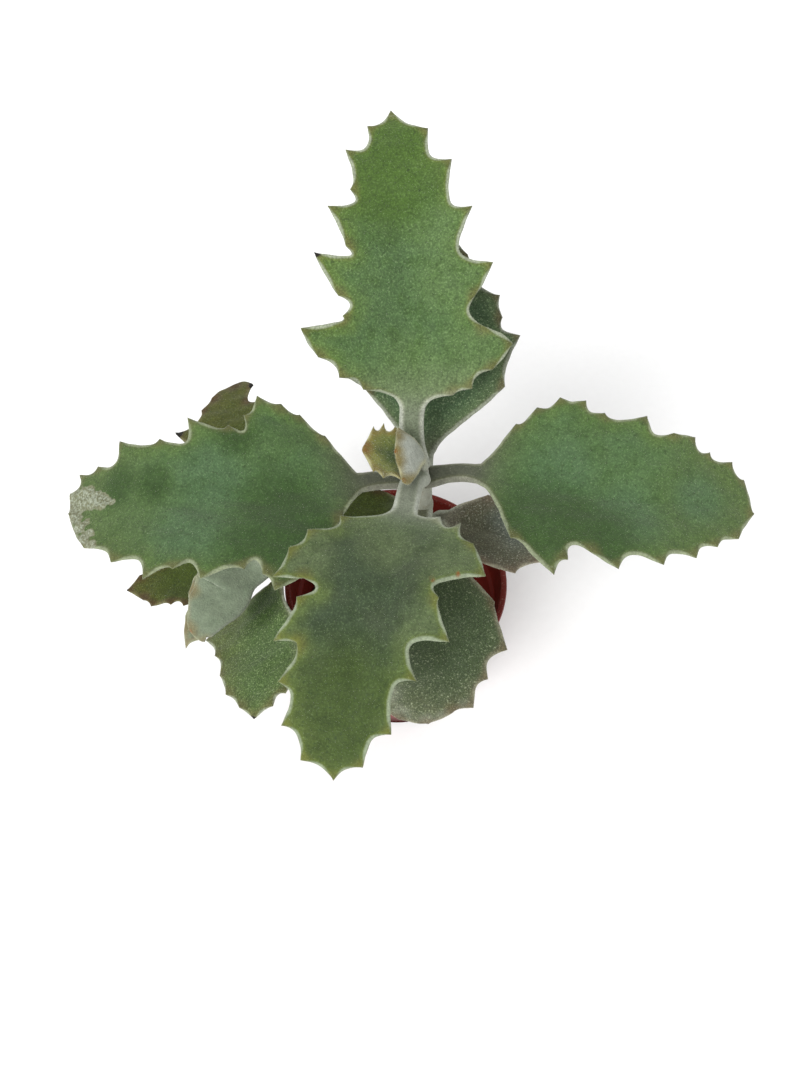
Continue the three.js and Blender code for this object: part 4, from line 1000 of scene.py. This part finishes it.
def felted_leaf(title, look):
    material, tree = new_material(title)
    place = add_node(tree, "ShaderNodeTexCoord").outputs["Object"]
    known = {name: value for name, value in look.items() if not isinstance(value, str)}
    for name in ("margin_mm", "along", "under", "tooth", "stalk", *LEAF_MARKS):
        known[name] = add_node(tree, "ShaderNodeAttribute", attribute_name=name).outputs["Fac"]
    for name, (size, detail) in FELT_NOISES.items():
        known[name] = add_node(tree, "ShaderNodeTexNoise", {
            "Vector": place, "Scale": 1 / (size * MM), "Detail": detail}).outputs["Fac"]
    for name, (added, weight, base) in SUMS.items():
        known[name] = add_node(tree, "ShaderNodeMath", operation="MULTIPLY_ADD", inputs={
            0: known[added], 1: weight, 2: known[base]}).outputs[0]
    known["worn"] = mask(tree, known, ("scar", 0.0, 0.12), ("ragged scar", 0.6, 0.72))
    colour = linear(look["outer"])
    for tint, *parts in LAYERS:
        colour = add_node(tree, "ShaderNodeMix", data_type="RGBA", inputs={
            "Factor": mask(tree, known, *parts), COLOUR_A: colour, COLOUR_B: linear(look[tint]),
        }).outputs[MIXED]
    grey = mask(tree, known, ("grain", 0.3, 0.7, 1 - look["grain"], 1 + look["grain"]),
                ("nap", 0.3, 0.7, 0.9, 1.1))
    toned = add_node(tree, "ShaderNodeVectorMath", operation="SCALE", inputs={0: colour, "Scale": grey})
    fine = add_node(tree, "ShaderNodeBump", inputs={
        "Height": known["relief"], "Strength": 0.8, "Distance": 0.14 * MM})
    swollen = add_node(tree, "ShaderNodeBump", inputs={
        "Height": known["mottle"], "Strength": 0.5, "Distance": 0.5 * MM, "Normal": fine.outputs[0]})
    rough = mask(tree, known, ("mottle", 0.3, 0.7, 0.74, 0.92))
    shader = add_node(tree, "ShaderNodeBsdfPrincipled", {
        "Base Color": toned.outputs[0], "Roughness": rough, "Normal": swollen.outputs[0],
        "Specular IOR Level": 0.25, "Sheen Weight": look["sheen"], "Sheen Roughness": 0.6,
        "Sheen Tint": linear("#dfe3d2")})
    finish_material(tree, shader)
    return material


# %% The looks of the leaves
# a look's bare colour also serves as painted shade, and its bloom colour as painted light
YOUNG_FULL = {
    "centre": "#466037", "outer": "#526a2f", "patch": "#4f693b", "patches": 0.5, "shade": "#38501f",
    "tip": "#4d5f22", "tip_share": 0.7, "base": "#62714f", "bloom": "#536c3d", "bare": "#415c1e",
    "pit": "#2d3f1f", "felt": "#768860", "flecks": 0.3, "rim": "#66672f", "rim_share": 0.4,
    "tooth": "#5c5933", "tooth_share": 0.55, "stalk": "#68715b", "stalk_rim": "#a6aa9c",
    "line": "#9aa18d", "line_share": 0.8, "stalk_band": 2.2, "under": "#7c8567", "under_shade": "#687455",
    "scar": "#6e6d55", "scar_light": "#9ba290", "rust": "#7a4a20", "dry": "#120d09", "sheen": 0.2,
    "grain": 0.24,
}
LOOKS = {
    "felt over a young full leaf": YOUNG_FULL,
    "felt with a blue bloom": dict(
        YOUNG_FULL, centre="#476239", outer="#4b632f", patch="#41592b", shade="#344b25",
        tip="#4c5e2e", base="#4a533b", bloom="#455f3e", bare="#2c451a", rim="#5b5c3b",
        stalk="#474a3c", stalk_rim="#717163", stalk_band=1.3, line="#8a9276", flecks=0.2, grain=0.18),
    "felt with yellow margins": dict(
        YOUNG_FULL, centre="#35442c", outer="#4f5f2f", patch="#3c4630", patches=0.6, shade="#2d3a20",
        tip="#505f26", base="#56634a", bloom="#52603e", bare="#364818", rim="#5a682a",
        rim_share=0.65, tooth="#655c28", tooth_share=0.35, line="#8c9680", flecks=0.2, grain=0.16,
        stalk="#6f7565", stalk_rim="#a3a79b"),
    "felt on a lower green leaf": dict(
        YOUNG_FULL, centre="#50663a", outer="#556738", patch="#495f2f", shade="#41562a",
        tip="#5a6338", base="#56613f", bare="#314818", rim="#63603f", felt="#8b9870", flecks=0.6,
        sheen=0.12, grain=0.28),
    "felt over a shaded green leaf": dict(
        YOUNG_FULL, centre="#445d3f", outer="#4f6240", patch="#4b603e", shade="#384b30",
        tip="#50613f", base="#58614b", bloom="#55654e", bare="#3e5636", felt="#889574", flecks=0.55,
        rim="#62624b", tooth="#5b4c31", line="#8e9383", under="#727b5e", stalk="#60644d"),
    "felt gone brown on an old leaf": dict(
        YOUNG_FULL, centre="#425236", outer="#50543a", patch="#4b5537", patches=0.6, shade="#354329",
        tip="#4b5132", base="#52563d", bloom="#767a68", bare="#39492b", felt="#8f967a", flecks=0.7,
        rim="#66614c", rim_share=0.6, tooth="#55472e", line="#7d7c66", under="#6b7358",
        stalk="#5a5d48", sheen=0.35, grain=0.28),
    "felt gone grey on a shaded leaf": dict(
        YOUNG_FULL, centre="#5b5b48", outer="#635b4b", patch="#525543", patches=0.6, shade="#4a483c",
        tip="#67604b", base="#706759", bloom="#616963", bare="#545240", felt="#a19d92", flecks=0.8,
        rim="#7a7262", rim_share=0.6, tooth="#675240", line="#98927f", stalk="#6a685b",
        sheen=0.4, grain=0.28),
    "felt worn thin on an olive leaf": dict(
        YOUNG_FULL, centre="#465318", outer="#4e5420", patch="#4a5818", patches=0.6, shade="#303a0b",
        tip="#48481b", base="#3f4c1f", bloom="#5d5743", bare="#384610", rim="#55502f",
        rim_share=0.7, tooth="#46341c", tooth_share=0.8, line="#6b6945", flecks=0.25, sheen=0.12),
    "felt dense and silver": dict(
        YOUNG_FULL, centre="#6b7963", outer="#697760", patch="#747f6a", shade="#5e6c56", tip="#6d755c",
        base="#6b7762", bloom="#76826c", bare="#5e6c54", rim="#84785f", rim_share=0.6,
        tooth="#7a6c43", line="#8d9173", under="#6f7b66", under_shade="#5f6d58", sheen=0.5,
        flecks=0.5, grain=0.1),
    "felt new and whitish": dict(
        YOUNG_FULL, centre="#344812", outer="#747a3c", patch="#4c5c1e", shade="#33440f",
        tip="#7a6f2c", tip_share=0.4, base="#3f4f16", rim="#86793a", rim_share=0.6,
        tooth="#675a26", tooth_share=0.85, line="#a8a57c", under="#949890", under_shade="#898e84",
        stalk="#94998d", rust="#6e480c", sheen=0.3, grain=0.08),
}
LOOK_OF = {
    "leaf_top": "felt over a young full leaf", "leaf_front": "felt with yellow margins",
    "leaf_left": "felt with a blue bloom", "leaf_right": "felt with a blue bloom",
    "leaf_back": "felt over a shaded green leaf", "leaf_front_low": "felt gone brown on an old leaf",
    "leaf_right_low": "felt gone grey on a shaded leaf",
    "leaf_left_low": "felt worn thin on an olive leaf",
    "leaf_left_mid": "felt worn thin on an olive leaf", "leaf_folded": "felt dense and silver",
    "leaf_front_left": "felt on a lower green leaf", "leaf_young_left": "felt new and whitish",
    "leaf_young_right": "felt new and whitish",
}
FELTS = {title: felted_leaf(title, look) for title, look in LOOKS.items()}
print("leaf materials:", list(FELTS))

# %% The leaves
blades = {}
for title, leaf in LEAVES.items():
    blade = leaf_mesh(title + "_blade", leaf)
    blade.data.materials.append(FELTS[LOOK_OF[title]])
    place_piece(blade, title)
    blades[title] = blade
print("leaf faces:", sum(len(blade.data.polygons) for blade in blades.values()))

# %% [markdown]
# ## The felt's hairs
# Close up and against the light, felt shows as a fringe of separate hairs. They are scattered
# over the blade by a geometry tree, thickly along the margin and thinly on the faces, where the
# shader already gives the felt's colour. Each is a slender three-sided cone, which costs least,
# tilted at random from the surface as real hairs are. One tree serves the leaves and the stem.

# %% Hair material
def felt_hair():
    material, tree = new_material("plant hair, dry and translucent")
    place = add_node(tree, "ShaderNodeTexCoord").outputs["Object"]
    change = add_node(tree, "ShaderNodeTexNoise", {"Vector": place, "Scale": 1 / (1.5 * MM), "Detail": 1.0})
    colour = add_node(tree, "ShaderNodeMix", data_type="RGBA", inputs={
        "Factor": change.outputs["Fac"], COLOUR_A: linear("#a9ad98"), COLOUR_B: linear("#dadccb")})
    shader = add_node(tree, "ShaderNodeBsdfPrincipled", {
        "Base Color": colour.outputs[MIXED], "Roughness": 0.7, "Specular IOR Level": 0.2,
        "Sheen Weight": 0.3})
    finish_material(tree, shader)
    return material


HAIR = felt_hair()
print("material:", HAIR.name)

# %% A tree that covers a surface in felt
HAIR_SIDES, HAIR_SCALES = 3, (0.5, 1.1)
felt_tree = bpy.data.node_groups.new("felt", "GeometryNodeTree")
felt_names = tree_inputs(felt_tree, {
    "Density": "Float", "Margin density": "Float", "Margin": "Float", "Length": "Float",
    "Thickness": "Float", "Tilt": "Float", "Seed": "Int", "Material": "Material"})
given = add_node(felt_tree, "NodeGroupInput").outputs
margin_here = add_node(felt_tree, "GeometryNodeInputNamedAttribute", {"Name": "margin_mm"},
                       data_type="FLOAT").outputs["Attribute"]
by_margin = add_node(felt_tree, "FunctionNodeCompare", data_type="FLOAT", operation="LESS_THAN",
                     inputs={"A": margin_here, "B": given["Margin"]})
density = add_node(felt_tree, "GeometryNodeSwitch", input_type="FLOAT", inputs={
    "Switch": by_margin.outputs[0], "False": given["Density"], "True": given["Margin density"]})
roots = add_node(felt_tree, "GeometryNodeDistributePointsOnFaces", {
    "Mesh": given["Geometry"], "Density": density.outputs[0], "Seed": given["Seed"]})
half_thick = add_node(felt_tree, "ShaderNodeMath", operation="DIVIDE", inputs={
    0: given["Thickness"], 1: 2.0})
hair = add_node(felt_tree, "GeometryNodeMeshCone", fill_type="NONE", inputs={
    "Vertices": HAIR_SIDES, "Radius Top": 0.0, "Radius Bottom": half_thick.outputs[0],
    "Depth": given["Length"]})
turn, scale = at_random(felt_tree, given["Tilt"], HAIR_SCALES, given["Seed"])
as_turn = add_node(felt_tree, "FunctionNodeEulerToRotation", {"Euler": turn})
turned = add_node(felt_tree, "FunctionNodeRotateRotation", rotation_space="LOCAL", inputs={
    "Rotation": roots.outputs["Rotation"], "Rotate By": as_turn.outputs[0]})
hairs = add_node(felt_tree, "GeometryNodeInstanceOnPoints", {
    "Points": roots.outputs["Points"], "Instance": hair.outputs["Mesh"],
    "Rotation": turned.outputs[0], "Scale": scale})
end_tree(felt_tree, hairs.outputs["Instances"], given["Material"])

# %% Felt on the leaves
PER_SQUARE_MM = 1 / MM ** 2
HAIRS = {"on faces": 1.2, "by the margin": 4, "margin": 0.45, "length": 0.34, "thickness": 0.05}
HAIR_TILT = 50  # degrees
THIN_OUT = 1


def felt_on(title, base, seed, more, longer):
    return grow(title, felt_tree, felt_names, base, {
        "Density": HAIRS["on faces"] * PER_SQUARE_MM * more * THIN_OUT,
        "Margin density": HAIRS["by the margin"] * PER_SQUARE_MM * more * THIN_OUT,
        "Margin": HAIRS["margin"], "Length": HAIRS["length"] * MM * longer,
        "Thickness": HAIRS["thickness"] * MM, "Tilt": math.radians(HAIR_TILT), "Seed": seed,
        "Material": HAIR})


# how dense and how long the felt is, against the common measure
THIN_COAT, STEM_COAT = (0.6, 1.0), (1.6, 0.9)
COAT = {
    "leaf_young_left": (2.0, 1.3), "leaf_young_right": (2.0, 1.3), "leaf_front_low": (1.5, 1.1),
    "leaf_right_low": (1.5, 1.1), "leaf_back": (1.2, 1.0), "leaf_folded": (1.2, 1.0),
    "leaf_front_left": (1.0, 1.0), "leaf_left_low": (0.4, 1.0), "leaf_left_mid": (0.4, 1.0),
}
for title, blade in blades.items():
    felt = felt_on(title + "_felt", blade, LEAVES[title]["seed"], *COAT.get(title, THIN_COAT))
    place_piece(felt)

# %% [markdown]
# ## The stem
# The stem is soft wood under grey felt. Each pair of leaves leaves a ring behind: the stem swells
# at the joint, and where a leaf has dropped there is an oval brown scar with a raised rim. The
# swellings are in the list of rings, and the scars are pushed into the rings by distance over the
# surface, so that they wrap round the stem as real scars do.

# %% Stem material
def felted_stem():
    material, tree = new_material("felted young bark")
    place = add_node(tree, "ShaderNodeTexCoord").outputs["Object"]
    scar = add_node(tree, "ShaderNodeAttribute", attribute_name="leaf_scar").outputs["Fac"]
    age = add_node(tree, "ShaderNodeAttribute", attribute_name="age").outputs["Fac"]
    cloud, grain = (add_node(tree, "ShaderNodeTexNoise", {
        "Vector": place, "Scale": 1 / (size * MM), "Detail": detail}).outputs["Fac"]
        for size, detail in ((3, 4.0), (0.5, 2.0)))
    patch, speck = (add_node(tree, "ShaderNodeMapRange", {
        "Value": noise, "From Min": low, "From Max": 0.75, "To Max": most}).outputs[0]
        for noise, low, most in ((cloud, 0.45, 0.7), (grain, 0.55, 0.6)))
    colour = linear("#989a8c")
    for through, tint in ((age, "#857f70"), (patch, "#77705f"), (speck, "#c2c3b4"), (scar, "#7a5c40")):
        colour = add_node(tree, "ShaderNodeMix", data_type="RGBA", inputs={
            "Factor": through, COLOUR_A: colour, COLOUR_B: linear(tint)}).outputs[MIXED]
    bump = add_node(tree, "ShaderNodeBump", inputs={
        "Height": grain, "Strength": 0.6, "Distance": 0.15 * MM})
    shader = add_node(tree, "ShaderNodeBsdfPrincipled", {
        "Base Color": colour, "Roughness": 0.88, "Normal": bump.outputs[0],
        "Specular IOR Level": 0.2, "Sheen Weight": 0.4, "Sheen Tint": linear("#e2e3d8")})
    finish_material(tree, shader)
    return material


BARK = felted_stem()
print("material:", BARK.name)

# %% The stem itself
# [x, y, height, radius] up the stem, with a swelling at each joint
STEM = (
    (8, 5, 22.5, 4.0), (8, 5, 36, 4.2), (8, 5, 50, 4.2), (8.4, 4.6, 68, 4.0), (8.6, 4.4, 72, 4.5),
    (8.8, 4.2, 76, 4.0), (9.1, 3.9, 86, 3.8), (9.2, 3.8, 89, 4.3), (9.4, 3.6, 93, 3.7),
    (9.6, 3.2, 100, 3.6), (9.6, 3.1, 104, 4.1), (9.6, 3.0, 108, 3.5), (9.5, 2.8, 113, 3.4),
    (9.4, 2.6, 117, 3.9), (9.2, 2.4, 121, 3.3), (8.9, 2.1, 127, 3.2), (8.6, 1.9, 131, 3.6),
    (8.3, 1.7, 134, 3.1), (8.1, 1.5, 137.5, 3.2), (7.9, 1.3, 140.5, 2.6), (7.8, 1.2, 142, 1.4),
)
# where leaves have dropped: height, direction in degrees from +X, half width, half height
LEAF_SCARS = (
    (60, 80, 2.6, 1.7), (60, 262, 2.6, 1.7), (52, 350, 2.4, 1.5), (52, 168, 2.4, 1.5),
    (72, 25, 2.4, 1.7), (76, 350, 2.4, 1.6), (89, 5, 2.4, 1.6),
)
STEM_SIDES, STEM_STEP = 64, 0.8
STEM_SPAN = 8  # samples of the curve between two rows
SMOOTHING = (0.1, 0.2, 0.4, 0.2, 0.1)  # weights of a radius and its neighbours
SCAR_RIM, RIM_WIDE, SCAR_HOLLOW = 0.35, 0.22, 0.3
SCAR_FADES, HOLLOW_FADES = (0.8, 1.15), (0.3, 0.95)  # shares of a scar's half width
RIPPLE, RIPPLES = 0.06, ((3, 11), (5, 7), (8, 4.5), (13, 3))  # height, waves round and length along
STEM_TIP = 0.9  # height of the rounded end
OLD_BELOW, YOUNG_ABOVE = 60, 115
CLEAR_OF_MARGIN = 9.0  # a stem has no margin, so its felt is the felt of a face


def stem_mesh():
    curve = curve_through([row[:3] for row in STEM], STEM_SPAN)
    knots = np.linalg.norm(np.diff([row[:3] for row in STEM], axis=0), axis=1)
    knots = np.concatenate([[0], np.cumsum(knots)])
    stations = np.arange(0, curve["length"][-1], STEM_STEP)
    middle = on_curve(curve, stations)[0]
    radius = np.interp(stations / curve["length"][-1] * knots[-1], knots, [row[3] for row in STEM])
    radius = np.convolve(np.pad(radius, len(SMOOTHING) // 2, "edge"), SMOOTHING, "valid")
    turn = np.arange(STEM_SIDES) * 2 * np.pi / STEM_SIDES
    scar = np.zeros((len(stations), STEM_SIDES))
    push = np.zeros_like(scar)
    for height, direction, wide, high in LEAF_SCARS:
        gap = (turn - math.radians(direction) + np.pi) % (2 * np.pi) - np.pi
        across = gap[None] * radius[:, None] / wide
        far = np.hypot(across, (middle[:, 2] - height)[:, None] / high)
        scar = np.maximum(scar, 1 - smoothstep(far, *SCAR_FADES))
        rim = SCAR_RIM * np.exp(-((far - 1) / RIM_WIDE) ** 2)
        push += rim - SCAR_HOLLOW * (1 - smoothstep(far, *HOLLOW_FADES))
    rng = np.random.default_rng(71)
    ripple = np.zeros_like(scar)
    for waves, long in RIPPLES:
        phase = rng.uniform(0, 2 * np.pi, 2)
        along = np.sin(2 * np.pi * middle[:, 2:] / long + phase[1])
        ripple += np.sin(waves * turn[None] + phase[0]) * along
    out = radius[:, None] + push + RIPPLE * ripple
    ring = np.stack([np.cos(turn), np.sin(turn), np.zeros(STEM_SIDES)], -1)
    points = middle[:, None] + out[..., None] * ring[None]
    points = np.vstack([points.reshape(-1, 3), middle[0], middle[-1] + (0, 0, STEM_TIP)])
    return mesh_object("stem_wood", points, sleeve_faces(len(stations), STEM_SIDES), {
        "leaf_scar": np.concatenate([scar.ravel(), [0, 0]]),
        "age": 1 - smoothstep(points[:, 2], OLD_BELOW, YOUNG_ABOVE),
        "margin_mm": np.full(len(points), CLEAR_OF_MARGIN)})


stem = stem_mesh()
stem.data.materials.append(BARK)
place_piece(stem, "stem")
stem_felt = felt_on("stem_felt", stem, 5, *STEM_COAT)
place_piece(stem_felt)
print("stem:", len(stem.data.polygons), "faces, box in mm", [round(v / MM, 1) for v in stem.dimensions])

# %% [markdown]
# ## The potting mix
# Potting mix is peat and composted bark with a little white perlite. From a hand's width away it
# is crumbs of many sizes, with threads and flat chips among them, and no smooth surface anywhere.
# A bumpy body carries the crumbs. They are scattered by one tree, run once for each kind, with
# its own count, size, flatness and material.

# %% Materials of the mix
def mix_material(title, dark, light, patch_size, rough):
    material, tree = new_material(title)
    place = add_node(tree, "ShaderNodeTexCoord").outputs["Object"]
    patch, fine = (add_node(tree, "ShaderNodeTexNoise", {
        "Vector": place, "Scale": 1 / (size * MM), "Detail": detail}).outputs["Fac"]
        for size, detail in ((patch_size, 4.0), (0.4, 3.0)))
    spread = add_node(tree, "ShaderNodeMapRange", {
        "Value": patch, "From Min": 0.35, "From Max": 0.65})
    colour = add_node(tree, "ShaderNodeMix", data_type="RGBA", inputs={
        "Factor": spread.outputs[0], COLOUR_A: linear(dark), COLOUR_B: linear(light)})
    bump = add_node(tree, "ShaderNodeBump", inputs={
        "Height": fine, "Strength": 0.8, "Distance": 0.25 * MM})
    shader = add_node(tree, "ShaderNodeBsdfPrincipled", {
        "Base Color": colour.outputs[MIXED], "Roughness": rough, "Normal": bump.outputs[0],
        "Specular IOR Level": 0.3})
    finish_material(tree, shader)
    return material


PEAT = mix_material("damp peat", "#2b1f18", "#5a4637", 2.2, 0.95)
CHIP = mix_material("composted bark chip", "#3a2618", "#7a5a40", 1.2, 0.85)
PERLITE = mix_material("blown perlite", "#bdb8ae", "#efece6", 0.8, 0.9)
print("materials:", PEAT.name, CHIP.name, PERLITE.name)

# %% The body of the mix
SOIL_LEVEL = 46
SOIL_LOW = FLOOR + 0.4
SOIL_RINGS, SOIL_SIDES = 34, 120
TOP_GAP, SIDE_GAP, SHOULDER = 0.35, 0.4, 3  # gaps to the wall, and the height of the top's edge


def wall_inside(z):
    return FLOOR_RADIUS + (WALL_RADIUS - FLOOR_RADIUS) * (z - FLOOR) / (WALL_TOP - FLOOR)


def soil_height(x, y):
    """Low waves in millimetres, lower towards the wall, with smaller ones on them."""
    across = 0.7 * np.sin(x / 3.1 + 0.6 * np.sin(y / 4)) + 0.6 * np.sin(y / 3.7 + 1.1)
    low = SOIL_LEVEL + across + 0.4 * np.sin((x + y) / 2.3) - 0.02 * np.hypot(x, y)
    fine = 0.25 * np.sin(x * 1.7 + np.sin(y)) * np.sin(y * 1.9 + 1.3 * np.sin(x * 0.8))
    return low + fine


def soil_mesh():
    turn = np.arange(SOIL_SIDES) * 2 * np.pi / SOIL_SIDES
    edge = wall_inside(SOIL_LEVEL) - TOP_GAP
    rows = []
    for z in (SOIL_LOW, SOIL_LEVEL - SHOULDER):
        radius = wall_inside(z) - SIDE_GAP
        rows.append(np.stack([radius * np.cos(turn), radius * np.sin(turn), np.full(SOIL_SIDES, z)], -1))
    for radius in edge * (np.arange(SOIL_RINGS, 0, -1) / SOIL_RINGS):
        x, y = radius * np.cos(turn), radius * np.sin(turn)
        rows.append(np.stack([x, y, soil_height(x, y)], -1))
    points = np.vstack(rows + [[[0, 0, SOIL_LOW], [0, 0, soil_height(0.0, 0.0)]]])
    return mesh_object("soil_body", points, sleeve_faces(len(rows), SOIL_SIDES))


soil = soil_mesh()
soil.data.materials.append(PEAT)
place_piece(soil, "soil")
print("soil:", len(soil.data.polygons), "faces, box in mm", [round(v / MM, 1) for v in soil.dimensions])

# %% A tree that scatters crumbs over the mix
CRUMB_SCALES = (0.35, 1.0)  # shares of the radius
BULGES = 1.1  # mm, the size of the noise that a crumb is bent by
GREY = (0.5, 0.5, 0.5)  # the middle of a noise's colour
crumb_tree = bpy.data.node_groups.new("crumbs", "GeometryNodeTree")
crumb_names = tree_inputs(crumb_tree, {
    "Density": "Float", "Radius": "Float", "Stretch": "Vector", "Roughness": "Float",
    "Rounds": "Int", "Tilt": "Float", "Seed": "Int", "Material": "Material"})
given = add_node(crumb_tree, "NodeGroupInput").outputs
roots = add_node(crumb_tree, "GeometryNodeDistributePointsOnFaces", {
    "Mesh": given["Geometry"], "Density": given["Density"], "Seed": given["Seed"]})
ball = add_node(crumb_tree, "GeometryNodeMeshIcoSphere", {
    "Radius": given["Radius"], "Subdivisions": given["Rounds"]})
spot = add_node(crumb_tree, "GeometryNodeInputPosition")
lumps = add_node(crumb_tree, "ShaderNodeTexNoise", {
    "Vector": spot.outputs[0], "Scale": 1 / (BULGES * MM), "Detail": 1.0})
centred = add_node(crumb_tree, "ShaderNodeVectorMath", operation="SUBTRACT", inputs={
    0: lumps.outputs["Color"], 1: GREY})
pushed = add_node(crumb_tree, "ShaderNodeVectorMath", operation="SCALE", inputs={
    0: centred.outputs[0], "Scale": given["Roughness"]})
rough_ball = add_node(crumb_tree, "GeometryNodeSetPosition", {
    "Geometry": ball.outputs["Mesh"], "Offset": pushed.outputs[0]})
turn, scale = at_random(crumb_tree, given["Tilt"], CRUMB_SCALES, given["Seed"])
scaled = add_node(crumb_tree, "ShaderNodeVectorMath", operation="SCALE", inputs={
    0: given["Stretch"], "Scale": scale})
crumbs = add_node(crumb_tree, "GeometryNodeInstanceOnPoints", {
    "Points": roots.outputs["Points"], "Instance": rough_ball.outputs["Geometry"],
    "Rotation": turn, "Scale": scaled.outputs[0]})
end_tree(crumb_tree, crumbs.outputs["Instances"], given["Material"], smooth=True)

# %% Crumbs, chips and perlite
TOP_RINGS, TOP_SIDES = 12, 72
TOP_RADII = (0.5, wall_inside(SOIL_LEVEL) - 2.6)
TOP_ABOVE = 0.1  # height over the body, so that the crumbs don't start inside it
CRUMB_TILT = 0.5  # radians


def soil_top(title):
    """The top of the mix, clear of the wall, as a surface to scatter on."""
    turn = np.arange(TOP_SIDES) * 2 * np.pi / TOP_SIDES
    radius = np.linspace(*TOP_RADII, TOP_RINGS)
    x, y = (radius[:, None] * np.cos(turn)).ravel(), (radius[:, None] * np.sin(turn)).ravel()
    points = np.stack([x, y, soil_height(x, y) + TOP_ABOVE], -1)
    return mesh_object(title, points, sleeve_faces(TOP_RINGS, TOP_SIDES, capped=False))


KINDS = {
    "soil_crumbs": dict(
        density=0.55, radius=1.0, stretch=(1.1, 0.9, 0.7), rough=0.9, rounds=1, seed=3, of=PEAT),
    "soil_lumps": dict(
        density=0.07, radius=2.1, stretch=(1.1, 0.9, 0.7), rough=1.9, rounds=2, seed=7, of=PEAT),
    "soil_chips": dict(
        density=0.05, radius=2.0, stretch=(1.7, 0.6, 0.3), rough=0.9, rounds=2, seed=11, of=CHIP),
    "soil_perlite": dict(
        density=0.02, radius=1.3, stretch=(1, 0.9, 0.8), rough=0.9, rounds=2, seed=19, of=PERLITE),
}
carrier_top = soil_top("scatter surface")
for title, kind in KINDS.items():
    made = grow(title, crumb_tree, crumb_names, carrier_top, {
        "Density": kind["density"] * PER_SQUARE_MM, "Radius": kind["radius"] * MM,
        "Stretch": kind["stretch"], "Roughness": kind["rough"] * MM, "Rounds": kind["rounds"],
        "Tilt": CRUMB_TILT, "Seed": kind["seed"], "Material": kind["of"]})
    place_piece(made)
    print(title, len(made.data.polygons), "faces")
bpy.data.objects.remove(carrier_top)

# %% [markdown]
# ## Floor, light and world
# The photograph is a cut-out on white under a large soft light, so the floor and the world are
# nearly white. A key of even light comes from the front left, well above the plant, and makes the
# leaf halves that face it a little brighter. A much weaker and wider fill from behind on the right
# and the white world keep the shadows below soft.

# %% Floor
def pale_floor():
    material, tree = new_material("matt white card")
    place = add_node(tree, "ShaderNodeTexCoord").outputs["Object"]
    fibre = add_node(tree, "ShaderNodeTexNoise", {"Vector": place, "Scale": 1 / (4 * MM), "Detail": 3.0})
    colour = add_node(tree, "ShaderNodeMix", data_type="RGBA", inputs={
        "Factor": fibre.outputs["Fac"], COLOUR_A: linear("#fafafa"), COLOUR_B: linear("#ffffff")})
    finish_material(tree, add_node(tree, "ShaderNodeBsdfPrincipled", {
        "Base Color": colour.outputs[MIXED], "Roughness": 0.9, "Specular IOR Level": 0.1}))
    return material


FLOOR_HALF = 3000
card_corners = [(x * FLOOR_HALF, y * FLOOR_HALF, 0) for x, y in ((-1, -1), (1, -1), (1, 1), (-1, 1))]
card = mesh_object("floor_card", card_corners, [[0, 1, 2, 3]])
card.data.materials.append(pale_floor())
card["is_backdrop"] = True
print("floor:", card.name)

# %% Light
WORLD_STRENGTH = 0.5
LAMPS = {  # where the light comes from, apparent size in degrees, strength
    "soft key": ((-0.55, -0.85, 0.92), 35, 3.1),
    "soft fill": ((0.6, 0.5, 1.2), 90, 0.6),
}
for title, (direction, wide, strength) in LAMPS.items():
    lamp = bpy.data.lights.new(title, "SUN")
    lamp.energy = strength
    lamp.angle = math.radians(wide)
    lamp_object = bpy.data.objects.new(title, lamp)
    lamp_object.rotation_euler = Vector(direction).to_track_quat("Z", "Y").to_euler()
    bpy.context.scene.collection.objects.link(lamp_object)
world = bpy.data.worlds.new("white room")
world.use_nodes = True
background = world.node_tree.nodes["Background"].inputs
background["Color"].default_value = linear("#ffffff")
background["Strength"].default_value = WORLD_STRENGTH
bpy.context.scene.world = world
bpy.context.scene.view_settings.view_transform = "Standard"
print("lamps:", list(LAMPS))

# %% [markdown]
# ## Sizes and the last line
# The dressed model must stay as big as the model it dresses, so both boxes are printed.

# %% Print the boxes and finish
visual_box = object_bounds()
boxes = {"cad": [list(v) for v in cad_box], "visual": [list(v) for v in visual_box]}
for title, box in boxes.items():
    print(title, "box in mm:", [[round(v / MM, 1) for v in corner] for corner in box])
